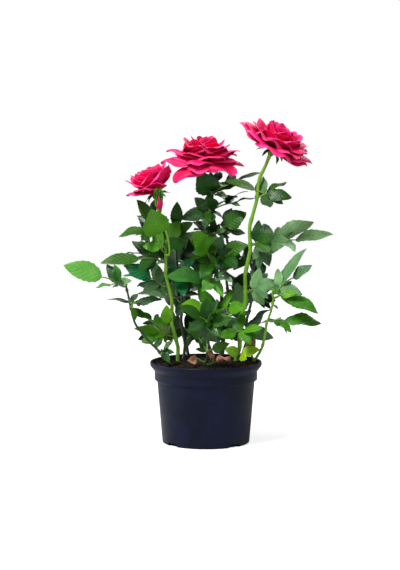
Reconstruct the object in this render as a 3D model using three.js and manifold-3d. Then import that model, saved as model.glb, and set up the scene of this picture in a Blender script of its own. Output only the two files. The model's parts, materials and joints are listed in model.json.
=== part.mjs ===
// A rose bush in a plastic nursery pot: canes rising from the soil, masses of compound leaves, three open
// blooms and a bud. Millimetres, +Z up, +X to the right, -Y to the front. The origin is the centre of the
// pot's flat underside.
import * as THREE from 'three';
import { mergeVertices } from 'three/addons/utils/BufferGeometryUtils.js';
import loadManifold from 'manifold-3d';

const wasm = await loadManifold();
wasm.setup();

const UP = new THREE.Vector3(0, 0, 1);
const FRONT = new THREE.Vector3(0, -1, 0);
const DEGREE = Math.PI / 180;
const GOLDEN_ANGLE = 137.5;

// Clearances
const CLEAR = 0.3;
const LEAF_GUARD = 0.45;
const MERGE = 1e-4;
const FINENESS = 0.25;

// Pot
const POT = {
  height: 87.5,
  baseRadius: 46.8,
  stepHeight: 67,
  stepRadius: 52.4,
  bandRadius: 55.2,
  bandTop: 77.5,
  lipBottom: 83.5,
  lipRadius: 60,
  edge: 1.2,
  wall: 1.5,
  segments: 24,
};
const NOTCH = { width: 14, height: 3.2, depth: 4, first: 40, count: 4 };
const SOIL = { edge: 85.4, shoulder: 87.4, top: 88.9, shoulderAt: 0.6, topAt: 0.25 };

// Canes: foot and tip positions, the sideways bow between them, radius at foot and tip, and how late the
// bow comes.
const FOOT_HEIGHT = 74;
const CANE_SIDES = 6;
const CANE_STEP = 24;
const CANES = {
  cane_right: { foot: [30, -6], tip: [65, -18, 304], bow: [-7, -3], radius: [2.5, 1.7], late: 2.6 },
  cane_middle: { foot: [17, 6], tip: [-2, 10, 287], bow: [6, 2], radius: [2.2, 1.5] },
  cane_left: { foot: [-28, -8], tip: [-50, -24, 257], bow: [0, 0], radius: [2.2, 1.4] },
  cane_left_back: { foot: [-24, 8], tip: [-34, 14, 212], bow: [3, 3], radius: [1.8, 1.2] },
  cane_low_left: { foot: [-22, -20], tip: [-84, -36, 174], bow: [-16, -2], radius: [1.6, 1] },
  cane_low_right: { foot: [46, 4], tip: [70, -36, 168], bow: [6, 0], radius: [1.6, 1] },
  cane_right_back: { foot: [36, 16], tip: [54, 26, 212], bow: [3, 5], radius: [1.8, 1.1] },
  cane_front: { foot: [-4, -26], tip: [2, -56, 142], bow: [3, -3], radius: [1.6, 1.1] },
  cane_back_left: { foot: [-14, 26], tip: [-34, 52, 196], bow: [-6, 8], radius: [1.9, 1.1] },
  cane_back_right: { foot: [14, 30], tip: [22, 58, 222], bow: [4, 8], radius: [1.9, 1.1] },
};

// Leaves
const LEAFLET = {
  stations: [0, 0.2, 0.6, 1],
  ratio: 0.53,
  thickness: 1,
  fold: 0.2,
  arch: 0.06,
  spread: 60,
  pairs: [0.34, 1.05],
  shrink: [0.86, 0.68],
  nearest: [0.32, 0.12],
  fullness: 2.8,
  rootPower: 0.62,
  tipPower: 0.93,
};
const TWIG = {
  stem: 1.3, leaf: 0.95, end: 0.65, sides: 3, fork: 7, forkRise: 0.6, sunk: 1.5, aside: 0.2, arch: 0.14,
  baseLift: 0.4, shortest: 2,
};
const BALANCED = 0.2;
const LEAF_ROUGHNESS = 0.45;
const JITTER = { angle: 9, length: 0.08 };
const TINTS = {
  dark: '#1d4a1c',
  teal: '#12523a',
  mid: '#3c7a2a',
  light: '#6fae4c',
  sage: '#7d9d74',
  lime: '#86bd2a',
  dry: '#8a6242',
};

// Masses of leaves: the cane that carries each, the height of its joint, its tint and its leaves. A leaf
// is [azimuth, reach, rise, turn, leaflets, length, ratio]: where it points (0 right, 90 back, 180 left,
// 270 front), how far out and up from the joint its tip stands, how far its face turns from straight up
// towards the front, how many leaflets it has, how long the last one is and, if unusual, its width ratio.
const MASSES = [
  ['far_left_leaves', 'cane_low_left', 172, 'light', [
    [187, 66, 23, 65, 1, 43], [200, 13, 24, 62, 1, 21], [196, 33, -1, 40, 1, 17],
  ]],
  ['far_right_leaves', 'cane_right_back', 204, 'sage', [
    [339, 88, 20, 26, 3, 44, 0.4], [352, 63, 33, 56, 1, 47, 0.5], [325, 42, 14, 62, 1, 31, 0.7],
  ]],
  ['left_face_leaf', 'cane_left', 208, 'mid', [[251, 40, 47, 85, 1, 36, 0.84]]],
  ['upright_leaf', 'cane_middle', 190, 'mid', [[230, 42, 38, 85, 1, 34, 0.7]]],
  ['right_pale_leaf', 'cane_right', 128, 'sage', [[104, 16, 44, 80, 1, 34, 0.66]]],
  ['upper_right_leaves', 'cane_right', 266, 'dark', [
    [342, 39, -1, 76, 1, 40, 0.52], [12, 34, 15, 10, 1, 30, 0.42], [184, 33, 17, 52, 1, 34, 0.46],
  ]],
  ['rising_right_leaves', 'cane_low_right', 165, 'sage', [
    [14, 37, 47, 35, 1, 50, 0.42], [350, 42, 30, 44, 1, 26], [60, 12, 25, 66, 1, 26],
  ]],
  ['hanging_right_leaves', 'cane_low_right', 160, 'mid', [
    [345, 50, -15, 60, 1, 37], [332, 28, 6, 62, 1, 22],
  ]],
  ['low_right_leaves', 'cane_low_right', 134, 'mid', [
    [346, 57, -1, 46, 1, 40, 0.44], [300, 18, -4, 60, 1, 18],
  ]],
  ['left_reaching_leaves', 'cane_left', 196, 'mid', [[191, 70, 1, 34, 3, 42, 0.42]]],
  ['left_shoulder_leaves', 'cane_left', 230, 'dark', [
    [186, 46, -6, 40, 3, 28], [198, 27, 33, 66, 1, 27, 0.62],
  ]],
  ['left_glossy_leaves', 'cane_left', 170, 'teal', [[199, 50, 24, 65, 1, 35], [168, 50, 12, 36, 3, 30]]],
  ['low_left_tip_leaves', 'cane_low_left', 150, 'dark', [
    [186, 25, 9, 30, 1, 25, 0.42], [352, 35, 9, 24, 1, 27, 0.4], [296, 13, -14, 60, 1, 15],
  ]],
  ['low_left_leaves', 'cane_left', 116, 'mid', [
    [184, 44, 9, 50, 3, 26], [247, 22, 36, 80, 1, 25], [178, 49, 30, 50, 1, 21],
  ]],
  ['left_foot_leaves', 'cane_low_left', 98, 'dark', [[318, 20, 4, 68, 3, 18], [285, 12, -5, 72, 1, 13]]],
  ['between_blooms_leaves', 'cane_left_back', 206, 'dark', [
    [280, 14, 53, 60, 3, 27], [262, 26, 22, 75, 3, 28],
  ]],
  ['left_centre_leaves', 'cane_left_back', 178, 'teal', [
    [262, 38, 16, 75, 3, 28], [278, 42, -18, 72, 1, 28],
  ]],
  ['under_bloom_leaves', 'cane_middle', 262, 'dark', [
    [245, 25, 28, 84, 1, 37, 0.9], [7, 58, 28, 16, 3, 30, 0.42],
  ]],
  ['upper_middle_leaves', 'cane_middle', 245, 'dark', [
    [206, 36, -4, 50, 3, 30], [262, 26, -8, 80, 1, 29, 0.7], [350, 50, 18, 10, 3, 26, 0.42],
  ]],
  ['middle_side_leaves', 'cane_middle', 220, 'dark', [
    [214, 46, 0, 30, 3, 34, 0.45], [335, 37, 28, 74, 1, 27, 0.8],
  ]],
  ['broad_centre_leaves', 'cane_middle', 172, 'light', [[216, 68, 11, 52, 1, 46, 0.44]]],
  ['middle_right_leaves', 'cane_middle', 198, 'dark', [
    [326, 38, 16, 70, 1, 28, 0.66], [300, 42, -8, 60, 3, 26],
  ]],
  ['centre_fan_leaves', 'cane_middle', 138, 'mid', [[225, 60, 14, 60, 3, 30], [300, 50, 12, 50, 3, 28]]],
  ['front_heart_leaves', 'cane_front', 136, 'dark', [[318, 34, 6, 62, 3, 29], [212, 36, 20, 70, 3, 27]]],
  ['front_low_leaves', 'cane_front', 104, 'dark', [
    [196, 20, 32, 75, 1, 21, 0.7], [334, 26, 10, 65, 1, 20],
  ]],
  ['right_teal_leaves', 'cane_right', 214, 'dark', [[322, 34, 12, 62, 3, 27]]],
  ['right_heart_leaves', 'cane_right', 164, 'sage', [[334, 38, 14, 55, 3, 26]]],
  ['right_olive_leaves', 'cane_right', 118, 'mid', [
    [314, 34, 9, 60, 3, 24], [206, 26, -1, 65, 1, 20, 0.6],
  ]],
  ['lime_leaves', 'cane_right', 94, 'lime', [
    [338, 27, 8, 64, 1, 20, 0.76], [296, 23, -1, 68, 1, 18, 0.84], [232, 21, 10, 64, 1, 18, 0.74],
  ]],
  ['dry_leaves_front', 'cane_front', 92, 'dry', [[208, 22, 3, 76, 1, 19, 0.85]]],
  ['dry_leaves_inner', 'cane_front', 90, 'dry', [
    [300, 10, 22, 80, 1, 18, 0.36], [14, 28, 3, 40, 1, 18, 0.42],
  ]],
  ['dry_leaf_right', 'cane_low_right', 88, 'dry', [[128, 8.5, 27, 82, 1, 22, 0.72]]],
];

// Masses at the back follow one rule: pairs of leaves up each cane, turning by the golden angle.
const BACK = {
  canes: ['cane_back_left', 'cane_back_right', 'cane_right_back', 'cane_left_back'],
  first: 112,
  step: 38,
  count: 3,
  reach: [50, 66],
  rise: [2, 26],
  turn: -40,
  length: [32, 40],
  span: [10, 170],
};

// Blooms: the cane that carries each, the length of its stalk, the way it faces, its spiral of petals and,
// below it, a skirt of single petals [azimuth, lean, curl, length].
const PETAL = {
  rows: 3, columns: 3, ratio: 1.14, thickness: 1.2, start: 0.1, blunt: 0.94, samples: 12, core: 2.2,
  wrapRadius: 7, mostWrap: 1.8, fullness: 1.3, rootPower: 0.5, tipPower: 0.6, squareness: 5, curling: 1.5,
  opening: 0.65,
};
const HEART = { radius: 10, tall: 0.5, lift: 0.5 };
const BALL = { around: 8, over: 5 };
const HIP = { tall: 1.2, lift: 0.7 };
const STALK = { start: 0.1, elbow: 0.5 };
const BLOOMS = {
  bloom_right: {
    cane: 'cane_right', stalk: 7, face: [0.47, -0.16, 0.87], petals: 9, length: [25, 42],
    lean: [6, 82], curl: [-6, 108], hip: 5, sepals: 125, sepalLength: 17,
    skirt: [[165, 76, 92, 44], [20, 82, 104, 43]],
  },
  bloom_middle: {
    cane: 'cane_middle', stalk: 6, face: [0.02, 0, 1], petals: 8, length: [29, 40],
    lean: [6, 74], curl: [-8, 122], hip: 5, sepals: 130, sepalLength: 17,
    skirt: [
      [214, 92, 160, 42], [182, 74, 108, 45], [318, 80, 140, 43], [4, 78, 116, 42], [262, 84, 134, 36],
    ],
  },
  bloom_left: {
    cane: 'cane_left', stalk: 7, face: [-0.34, -0.04, 0.94], petals: 8, length: [26, 34],
    lean: [4, 54], curl: [-10, 48], hip: 4.6, sepals: 118, sepalLength: 15,
    skirt: [[200, 66, 84, 29]],
  },
};

const SEPAL = { count: 5, first: 20, ratio: 0.26, out: 0.5, up: 1.2 };
const BUD = {
  cane: 'cane_left', height: 204, azimuth: 310, fork: 5, rise: [-5, -28, 48], stalk: 1,
  face: [-0.05, -0.1, 0.99], radius: 4.4, tall: 8, hip: 3, sepals: 3, sepalLength: 21,
};

// Numbers between 0 and 1 from a fixed seed.
function seeded(seed) {
  let state = seed;
  return () => {
    state = (state * 1664525 + 1013904223) % 4294967296;
    return state / 4294967296;
  };
}

function between([low, high], share) {
  return low + (high - low) * share;
}

function direction(azimuth) {
  return new THREE.Vector3(Math.cos(azimuth * DEGREE), Math.sin(azimuth * DEGREE), 0);
}

function across(vector, axis) {
  return vector.clone().addScaledVector(axis, -vector.dot(axis)).normalize();
}

// Solids

function signedVolume(points, faces) {
  const corners = [0, 1, 2].map(() => new THREE.Vector3());
  let volume = 0;
  for (let i = 0; i < faces.length; i += 3) {
    corners.forEach((corner, side) => corner.fromArray(points, 3 * faces[i + side]));
    volume += corners[0].dot(corners[1].cross(corners[2])) / 6;
  }
  return volume;
}

function solidOf(geometry) {
  geometry.deleteAttribute('normal');
  geometry.deleteAttribute('uv');
  const merged = mergeVertices(geometry, MERGE);
  const points = merged.attributes.position.array;
  const faces = [];
  for (let i = 0; i < merged.index.count; i += 3) {
    const [a, b, c] = [0, 1, 2].map((corner) => merged.index.getX(i + corner));
    if (a !== b && b !== c && c !== a) faces.push(a, b, c);
  }
  if (signedVolume(points, faces) < 0) faces.reverse();
  return new wasm.Manifold(
    new wasm.Mesh({ numProp: 3, vertProperties: points, triVerts: Uint32Array.from(faces) }),
  );
}

function geometryFrom(points, faces) {
  const geometry = new THREE.BufferGeometry();
  geometry.setAttribute('position', new THREE.Float32BufferAttribute(points.flatMap((p) => p.toArray()), 3));
  geometry.setIndex(faces);
  return geometry;
}

function geometryOf(solid) {
  const mesh = solid.getMesh();
  const geometry = new THREE.BufferGeometry();
  geometry.setAttribute('position', new THREE.BufferAttribute(mesh.vertProperties, mesh.numProp));
  geometry.setIndex(new THREE.BufferAttribute(mesh.triVerts, 1));
  return geometry;
}

// The union as one closed body: its largest shell, without loose scraps or sealed hollows.
function fused(solids) {
  const shells = wasm.Manifold.union(solids).simplify(FINENESS).decompose();
  return shells.reduce((best, shell) => (shell.volume() > best.volume() ? shell : best));
}

// A tapering limb with flat ends through the given points.
function limb(points, radii, sides) {
  const corners = [];
  const faces = [];
  let side = null;
  points.forEach((point, i) => {
    const before = points[Math.max(i - 1, 0)];
    const after = points[Math.min(i + 1, points.length - 1)];
    const along = after.clone().sub(before).normalize();
    side = across(side ?? (Math.abs(along.z) < 0.8 ? UP : FRONT), along);
    const other = along.clone().cross(side);
    for (let j = 0; j < sides; j += 1) {
      const angle = (2 * Math.PI * j) / sides;
      corners.push(
        point.clone().addScaledVector(side, radii[i] * Math.cos(angle))
          .addScaledVector(other, radii[i] * Math.sin(angle)),
      );
    }
  });
  for (let i = 0; i + 1 < points.length; i += 1) {
    for (let j = 0; j < sides; j += 1) {
      const [a, b] = [i * sides + j, i * sides + ((j + 1) % sides)];
      faces.push(a, b, b + sides, a, b + sides, a + sides);
    }
  }
  const last = (points.length - 1) * sides;
  for (let j = 1; j + 1 < sides; j += 1) faces.push(0, j + 1, j, last, last + j, last + j + 1);
  return solidOf(geometryFrom(corners, faces));
}

// A closed sheet between a front and a back grid of points, both [row][column].
function sheet(front, back) {
  const [rows, columns] = [front.length, front[0].length];
  const faces = [];
  const at = (side, row, column) => (side * rows + row) * columns + column;
  const quad = (a, b, c, d) => faces.push(a, b, c, a, c, d);
  const [top, end] = [rows - 1, columns - 1];
  for (let row = 0; row < top; row += 1) {
    for (let column = 0; column < end; column += 1) {
      const [beside, above] = [column + 1, row + 1];
      quad(at(0, row, column), at(0, row, beside), at(0, above, beside), at(0, above, column));
      quad(at(1, row, column), at(1, above, column), at(1, above, beside), at(1, row, beside));
    }
    quad(at(0, row, 0), at(0, row + 1, 0), at(1, row + 1, 0), at(1, row, 0));
    quad(at(0, row + 1, end), at(0, row, end), at(1, row, end), at(1, row + 1, end));
  }
  for (let column = 0; column < end; column += 1) {
    quad(at(0, 0, column + 1), at(0, 0, column), at(1, 0, column), at(1, 0, column + 1));
    quad(at(0, top, column), at(0, top, column + 1), at(1, top, column + 1), at(1, top, column));
  }
  return solidOf(geometryFrom([...front.flat(), ...back.flat()], faces));
}

// Foliage keeps clear of everything that already stands in the crown.

const standing = [];

function boxesMeet(a, b) {
  return [0, 1, 2].every((axis) => a.min[axis] < b.max[axis] && b.min[axis] < a.max[axis]);
}

function isClear(solid) {
  const box = solid.boundingBox();
  return standing.every(
    (other) => !boxesMeet(box, other.box) || other.solid.intersect(solid).isEmpty(),
  );
}

function stand(solid) {
  standing.push({ solid, box: solid.boundingBox() });
  return solid;
}

// Pot and soil

function lathe(profile, segments) {
  const points = profile.map(([radius, height]) => new THREE.Vector2(radius, height));
  return solidOf(new THREE.LatheGeometry(points, segments).rotateX(Math.PI / 2));
}

function potSolid() {
  const inner = POT.wall;
  const body = lathe([
    [0, 0],
    [POT.baseRadius - POT.edge, 0],
    [POT.baseRadius, POT.edge],
    [POT.stepRadius, POT.stepHeight - POT.edge],
    [POT.bandRadius - POT.edge, POT.stepHeight],
    [POT.bandRadius, POT.stepHeight + POT.edge],
    [POT.bandRadius, POT.bandTop],
    [POT.lipRadius - POT.edge, POT.lipBottom],
    [POT.lipRadius, POT.height - 2 * POT.edge],
    [POT.lipRadius - POT.edge, POT.height],
    [POT.lipRadius - POT.edge - inner, POT.height],
    [POT.bandRadius - inner, POT.bandTop],
    [POT.bandRadius - inner, POT.stepHeight + inner],
    [POT.stepRadius - inner, POT.stepHeight],
    [POT.baseRadius - inner, inner],
    [0, inner],
  ], POT.segments);
  const notches = Array.from({ length: NOTCH.count }, (_, i) => {
    const azimuth = (NOTCH.first + (360 * i) / NOTCH.count) * DEGREE;
    const box = new THREE.BoxGeometry(2 * NOTCH.depth, NOTCH.width, 2 * NOTCH.height);
    return solidOf(box.translate(POT.baseRadius, 0, 0).rotateZ(azimuth));
  });
  return notches.reduce((pot, notch) => pot.subtract(notch), body);
}

function soilSolid() {
  const gap = POT.wall + CLEAR;
  const flare = (POT.lipRadius - POT.edge - POT.bandRadius) / (POT.height - POT.bandTop);
  const edge = POT.bandRadius - gap + flare * (SOIL.edge - POT.bandTop);
  const body = lathe([
    [0, gap],
    [POT.baseRadius - NOTCH.depth - gap, gap],
    [POT.baseRadius - gap, NOTCH.height + gap],
    [POT.stepRadius - gap, POT.stepHeight + CLEAR],
    [POT.bandRadius - gap, POT.stepHeight + gap + CLEAR],
    [POT.bandRadius - gap, POT.bandTop],
    [edge, SOIL.edge],
    [edge * SOIL.shoulderAt, SOIL.shoulder],
    [edge * SOIL.topAt, SOIL.top],
    [0, SOIL.top],
  ], POT.segments);
  return Object.values(CANES).reduce((soil, cane) => soil.subtract(caneSolid(cane, CLEAR)), body);
}

// Canes

function caneSteps(cane) {
  return Math.ceil((cane.tip[2] - FOOT_HEIGHT) / CANE_STEP);
}

function bowedPoint(cane, share) {
  const late = share ** (cane.late ?? 1);
  const bow = 4 * late * (1 - late);
  return new THREE.Vector3(
    between([cane.foot[0], cane.tip[0]], share) + cane.bow[0] * bow,
    between([cane.foot[1], cane.tip[1]], share) + cane.bow[1] * bow,
    between([FOOT_HEIGHT, cane.tip[2]], share),
  );
}

// The centre of a cane at a height, on the straight stretches between its rings.
function caneAt(cane, height) {
  const steps = caneSteps(cane);
  const place = (steps * (height - FOOT_HEIGHT)) / (cane.tip[2] - FOOT_HEIGHT);
  const ring = Math.min(Math.floor(place), steps - 1);
  return bowedPoint(cane, ring / steps).lerp(bowedPoint(cane, (ring + 1) / steps), place - ring);
}

function caneRadius(cane, height) {
  return between(cane.radius, (height - FOOT_HEIGHT) / (cane.tip[2] - FOOT_HEIGHT));
}

function caneTangent(cane, height) {
  return caneAt(cane, height).sub(caneAt(cane, height - 1)).normalize();
}

function caneSolid(cane, extra = 0) {
  const steps = caneSteps(cane);
  const shares = Array.from({ length: steps + 1 }, (_, i) => i / steps);
  const points = shares.map((share) => bowedPoint(cane, share));
  points[0].addScaledVector(UP, -extra);
  const radii = shares.map((share) => between(cane.radius, share) + extra);
  return limb(points, radii, CANE_SIDES);
}

// Leaves

function leafletWidth(share) {
  return LEAFLET.fullness * share ** LEAFLET.rootPower * (1 - share) ** LEAFLET.tipPower;
}

// A folded, arched leaflet that thins to its edges; extra thickens and widens it, to test what it would
// touch.
function leafletSolid({ root, along, face, length, ratio = LEAFLET.ratio }, extra = 0) {
  const side = along.clone().cross(face);
  const grid = (hand) => LEAFLET.stations.map((share) => {
    const inner = share > 0 && share < 1 ? 1 : 0;
    const width = (leafletWidth(share) * ratio * length) / 2 + inner * extra;
    const middle = root.clone().addScaledVector(along, share * (length + extra))
      .addScaledVector(face, LEAFLET.arch * length * 4 * share * (1 - share));
    return [-1, 0, 1].map((column) => {
      const half = extra + (inner * (1 - Math.abs(column)) * LEAFLET.thickness) / 2;
      return middle.clone().addScaledVector(side, column * width)
        .addScaledVector(face, Math.abs(column) * LEAFLET.fold * width + hand * half);
    });
  });
  return sheet(grid(1), grid(-1));
}

function faceOf(along, turn) {
  const angle = Math.abs(turn) * DEGREE;
  const towards = FRONT.clone().multiplyScalar(turn < 0 ? -1 : 1);
  return across(UP, along).multiplyScalar(Math.cos(angle))
    .addScaledVector(across(towards, along), Math.sin(angle))
    .normalize();
}

function arc(start, middle, end, steps) {
  return new THREE.QuadraticBezierCurve3(start, middle, end).getPoints(steps);
}

// One compound leaf from its fork: a stalk with paired leaflets and one at the end.
function compoundLeaf(fork, joint, [azimuth, reach, rise, turn, leaflets, length, ratio], random) {
  const tip = joint.clone().addScaledVector(direction(azimuth), reach).addScaledVector(UP, rise);
  const chord = tip.clone().sub(fork);
  const stalk = Math.max(chord.length() - length, TWIG.shortest);
  const lift = TWIG.arch * stalk;
  const base = fork.clone().addScaledVector(chord, stalk / chord.length())
    .addScaledVector(UP, lift * TWIG.baseLift);
  const bend = fork.clone().lerp(base, 0.5).addScaledVector(UP, lift);
  const last = tip.clone().sub(base);
  const along = last.clone().normalize();
  const blades = [{ root: base, along, face: faceOf(along, turn), length: last.length(), ratio }];
  const curve = new THREE.QuadraticBezierCurve3(fork, bend, base);
  for (let pair = 0; pair < (leaflets - 1) / 2; pair += 1) {
    const share = Math.max(1 - (LEAFLET.pairs[pair] * length) / stalk, LEAFLET.nearest[pair]);
    const tangent = curve.getTangent(share);
    const plane = faceOf(tangent, turn);
    [-1, 1].forEach((hand) => {
      const root = curve.getPoint(share).addScaledVector(tangent.clone().cross(plane), -hand * TWIG.aside);
      const angle = (LEAFLET.spread + JITTER.angle * (2 * random() - 1)) * hand * DEGREE;
      const size = length * LEAFLET.shrink[pair] * (1 + JITTER.length * (2 * random() - 1));
      const way = tangent.clone().applyAxisAngle(plane, angle);
      blades.push({ root, along: way, face: faceOf(way, turn), length: size, ratio });
    });
  }
  const points = [...curve.getPoints(2), base.clone().addScaledVector(along, TWIG.sunk)];
  const radii = points.map((_, i) => between([TWIG.leaf, TWIG.end], i / (points.length - 1)));
  return { points, radii, blades };
}

// A mass: one short stem that stands clear of its cane and forks into compound leaves.
function massSolid(cane, height, leaves, random) {
  const joint = caneAt(cane, height);
  const middle = leaves.reduce((sum, leaf) => sum.add(direction(leaf[0])), new THREE.Vector3());
  const out = middle.length() > BALANCED ? middle : direction(leaves[0][0]);
  const way = across(out, caneTangent(cane, height));
  const start = joint.clone().addScaledVector(way, caneRadius(cane, height) + CLEAR);
  const fork = start.clone().addScaledVector(way, TWIG.fork)
    .addScaledVector(UP, TWIG.forkRise * TWIG.fork);
  const elbow = start.clone().addScaledVector(way, TWIG.forkRise * TWIG.fork);
  const stem = limb([start, elbow, fork], [TWIG.stem, TWIG.stem, TWIG.leaf], TWIG.sides);
  const parts = [stem];
  leaves.forEach((leaf) => {
    const { points, radii, blades } = compoundLeaf(fork, joint, leaf, random);
    const stalk = limb(points, radii, TWIG.sides);
    const guard = limb(points, radii.map((radius) => radius + LEAF_GUARD), TWIG.sides);
    if (!isClear(guard)) return;
    parts.push(stalk);
    blades.filter((blade) => isClear(leafletSolid(blade, LEAF_GUARD)))
      .forEach((blade) => parts.push(leafletSolid(blade)));
  });
  return parts.length > 1 && isClear(stem) ? fused(parts) : null;
}

// Blooms

function placeOnAxis(point, base, face, side, other) {
  return base.clone().addScaledVector(side, point.x).addScaledVector(other, point.y)
    .addScaledVector(face, point.z);
}

function petalWidth(share) {
  return PETAL.fullness * share ** PETAL.rootPower * (1 - share ** PETAL.squareness) ** PETAL.tipPower;
}

// The rib of a petal leans out from the bloom's axis and curls further towards its tip.
function petalRib({ length, lean, curl }, share) {
  const rib = new THREE.Vector2(PETAL.core, 0);
  for (let i = 0; i < PETAL.samples; i += 1) {
    const here = (share * (i + 0.5)) / PETAL.samples;
    const angle = between([lean, curl], here ** PETAL.curling) * DEGREE;
    rib.x += (Math.sin(angle) * length * share) / PETAL.samples;
    rib.y += (Math.cos(angle) * length * share) / PETAL.samples;
  }
  return rib;
}

function petalPoint(petal, side, share, offset) {
  const rib = petalRib(petal, share);
  const half = petalWidth(Math.min(share, PETAL.blunt)) * petal.width * 0.5;
  const turn = (side * half) / Math.max(rib.x, PETAL.wrapRadius);
  const wrap = THREE.MathUtils.clamp(turn, -PETAL.mostWrap, PETAL.mostWrap);
  const angle = petal.azimuth * DEGREE + wrap;
  const slope = between([petal.lean, petal.curl], share ** PETAL.curling) * DEGREE;
  const radius = rib.x + offset * Math.cos(slope);
  const height = rib.y - offset * Math.sin(slope);
  return new THREE.Vector3(radius * Math.cos(angle), radius * Math.sin(angle), height);
}

// A petal thins to its side edges and its tip.
function petalSolid(petal, place) {
  const grid = (hand) => Array.from({ length: PETAL.rows + 1 }, (_, row) => {
    const share = between([PETAL.start, 1], row / PETAL.rows);
    return Array.from({ length: PETAL.columns + 1 }, (__, column) => {
      const side = (2 * column) / PETAL.columns - 1;
      const half = row < PETAL.rows ? (PETAL.thickness / 2) * (1 - side * side) : 0;
      return place(petalPoint(petal, side, share, hand * half));
    });
  });
  return sheet(grid(1), grid(-1));
}

function ball(radius, height, place, lift) {
  const geometry = new THREE.SphereGeometry(1, BALL.around, BALL.over);
  geometry.rotateX(Math.PI / 2).scale(radius, radius, height);
  const position = geometry.attributes.position;
  for (let i = 0; i < position.count; i += 1) {
    const point = place(new THREE.Vector3().fromBufferAttribute(position, i).addScaledVector(UP, lift));
    position.setXYZ(i, point.x, point.y, point.z);
  }
  return solidOf(geometry);
}

// Five narrow leafy sepals round the hip, pointing up on a bud and hanging on an open bloom.
function sepals(bloom, place, face) {
  return Array.from({ length: SEPAL.count }, (_, i) => {
    const way = direction((360 * i) / SEPAL.count + SEPAL.first);
    const out = place(way.clone()).sub(place(new THREE.Vector3())).normalize();
    const root = place(
      way.clone().multiplyScalar(SEPAL.out * bloom.hip).addScaledVector(UP, SEPAL.up * bloom.hip),
    );
    const along = out.clone().multiplyScalar(Math.sin(bloom.sepals * DEGREE))
      .addScaledVector(face, Math.cos(bloom.sepals * DEGREE)).normalize();
    const skin = bloom.sepals < 90 ? out : face;
    return leafletSolid({
      root, along, face: across(skin, along), length: bloom.sepalLength, ratio: SEPAL.ratio,
    });
  });
}

function bloomSolid(bloom) {
  const cane = CANES[bloom.cane];
  const along = caneTangent(cane, cane.tip[2]);
  const foot = caneAt(cane, cane.tip[2]).addScaledVector(along, CLEAR);
  const face = new THREE.Vector3(...bloom.face).normalize();
  const side = across(new THREE.Vector3(1, 0, 0), face);
  const other = face.clone().cross(side);
  const elbow = foot.clone().addScaledVector(along, bloom.stalk * STALK.elbow);
  const base = elbow.clone().addScaledVector(face, bloom.stalk * (1 - STALK.elbow));
  const place = (point) => placeOnAxis(point, base, face, side, other);
  const start = foot.clone().addScaledVector(along, bloom.stalk * STALK.start);
  const stalk = limb([foot, start, elbow, base], [1, 1, 1, 1].map(() => cane.radius[1]), CANE_SIDES);
  const tall = bloom.length[0] * HEART.tall;
  const heart = ball(HEART.radius, tall, place, tall + bloom.hip * HEART.lift);
  const spiral = Array.from({ length: bloom.petals }, (_, i) => {
    const share = i / (bloom.petals - 1);
    const lean = between(bloom.lean, share ** PETAL.opening);
    return [GOLDEN_ANGLE * i, lean, between(bloom.curl, share), between(bloom.length, share)];
  });
  const petals = [...spiral, ...bloom.skirt].map(([azimuth, lean, curl, length]) => petalSolid(
    { azimuth, lean, curl, length, width: length * PETAL.ratio },
    (point) => place(point.addScaledVector(UP, bloom.hip)),
  ));
  const hip = ball(bloom.hip, bloom.hip * HIP.tall, place, bloom.hip * HIP.lift);
  const parts = [stalk, hip, heart, ...petals];
  return fused([...parts, ...sepals(bloom, place, face)]);
}

// The bud stands on a long stalk of its own that leaves its cane sideways.
function budSolid() {
  const cane = CANES[BUD.cane];
  const way = across(direction(BUD.azimuth), caneTangent(cane, BUD.height));
  const joint = caneAt(cane, BUD.height);
  const start = joint.clone().addScaledVector(way, caneRadius(cane, BUD.height) + CLEAR);
  const elbow = start.clone().addScaledVector(way, BUD.fork);
  const bend = elbow.clone().addScaledVector(way, BUD.fork).addScaledVector(UP, 2 * BUD.fork);
  const base = joint.clone().add(new THREE.Vector3(...BUD.rise));
  const stalk = limb([start, elbow, ...arc(elbow, bend, base, 4).slice(1)],
    [1, 1, 1, 1, 1, 1].map(() => BUD.stalk), CANE_SIDES);
  const face = new THREE.Vector3(...BUD.face).normalize();
  const side = across(new THREE.Vector3(1, 0, 0), face);
  const place = (point) => placeOnAxis(point, base, face, side, face.clone().cross(side));
  const petals = ball(BUD.radius, BUD.tall, place, BUD.tall);
  return fused([stalk, ball(BUD.hip, BUD.hip, place, 0), petals, ...sepals(BUD, place, face)]);
}

// The finished plant

const FINISH = {
  pot: ['#1e2237', 0.5],
  soil: ['#2a211b', 0.95],
  cane: ['#6f9a2c', 0.5],
  petal: ['#e6146e', 0.55],
};

const group = new THREE.Group();

function addPart(name, solid, color, roughness) {
  const material = new THREE.MeshStandardMaterial({ color, roughness, metalness: 0 });
  const mesh = new THREE.Mesh(geometryOf(stand(solid)), material);
  mesh.name = name;
  group.add(mesh);
}

addPart('pot', potSolid(), ...FINISH.pot);
addPart('soil', soilSolid(), ...FINISH.soil);
Object.entries(CANES).forEach(([name, cane]) => addPart(name, caneSolid(cane), ...FINISH.cane));
Object.entries(BLOOMS).forEach(([name, bloom]) => addPart(name, bloomSolid(bloom), ...FINISH.petal));
addPart('bud', budSolid(), ...FINISH.petal);

MASSES.forEach(([name, cane, height, tint, leaves], i) => {
  const solid = massSolid(CANES[cane], height, leaves, seeded(i + 1));
  if (solid) addPart(name, solid, TINTS[tint], LEAF_ROUGHNESS);
});

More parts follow.
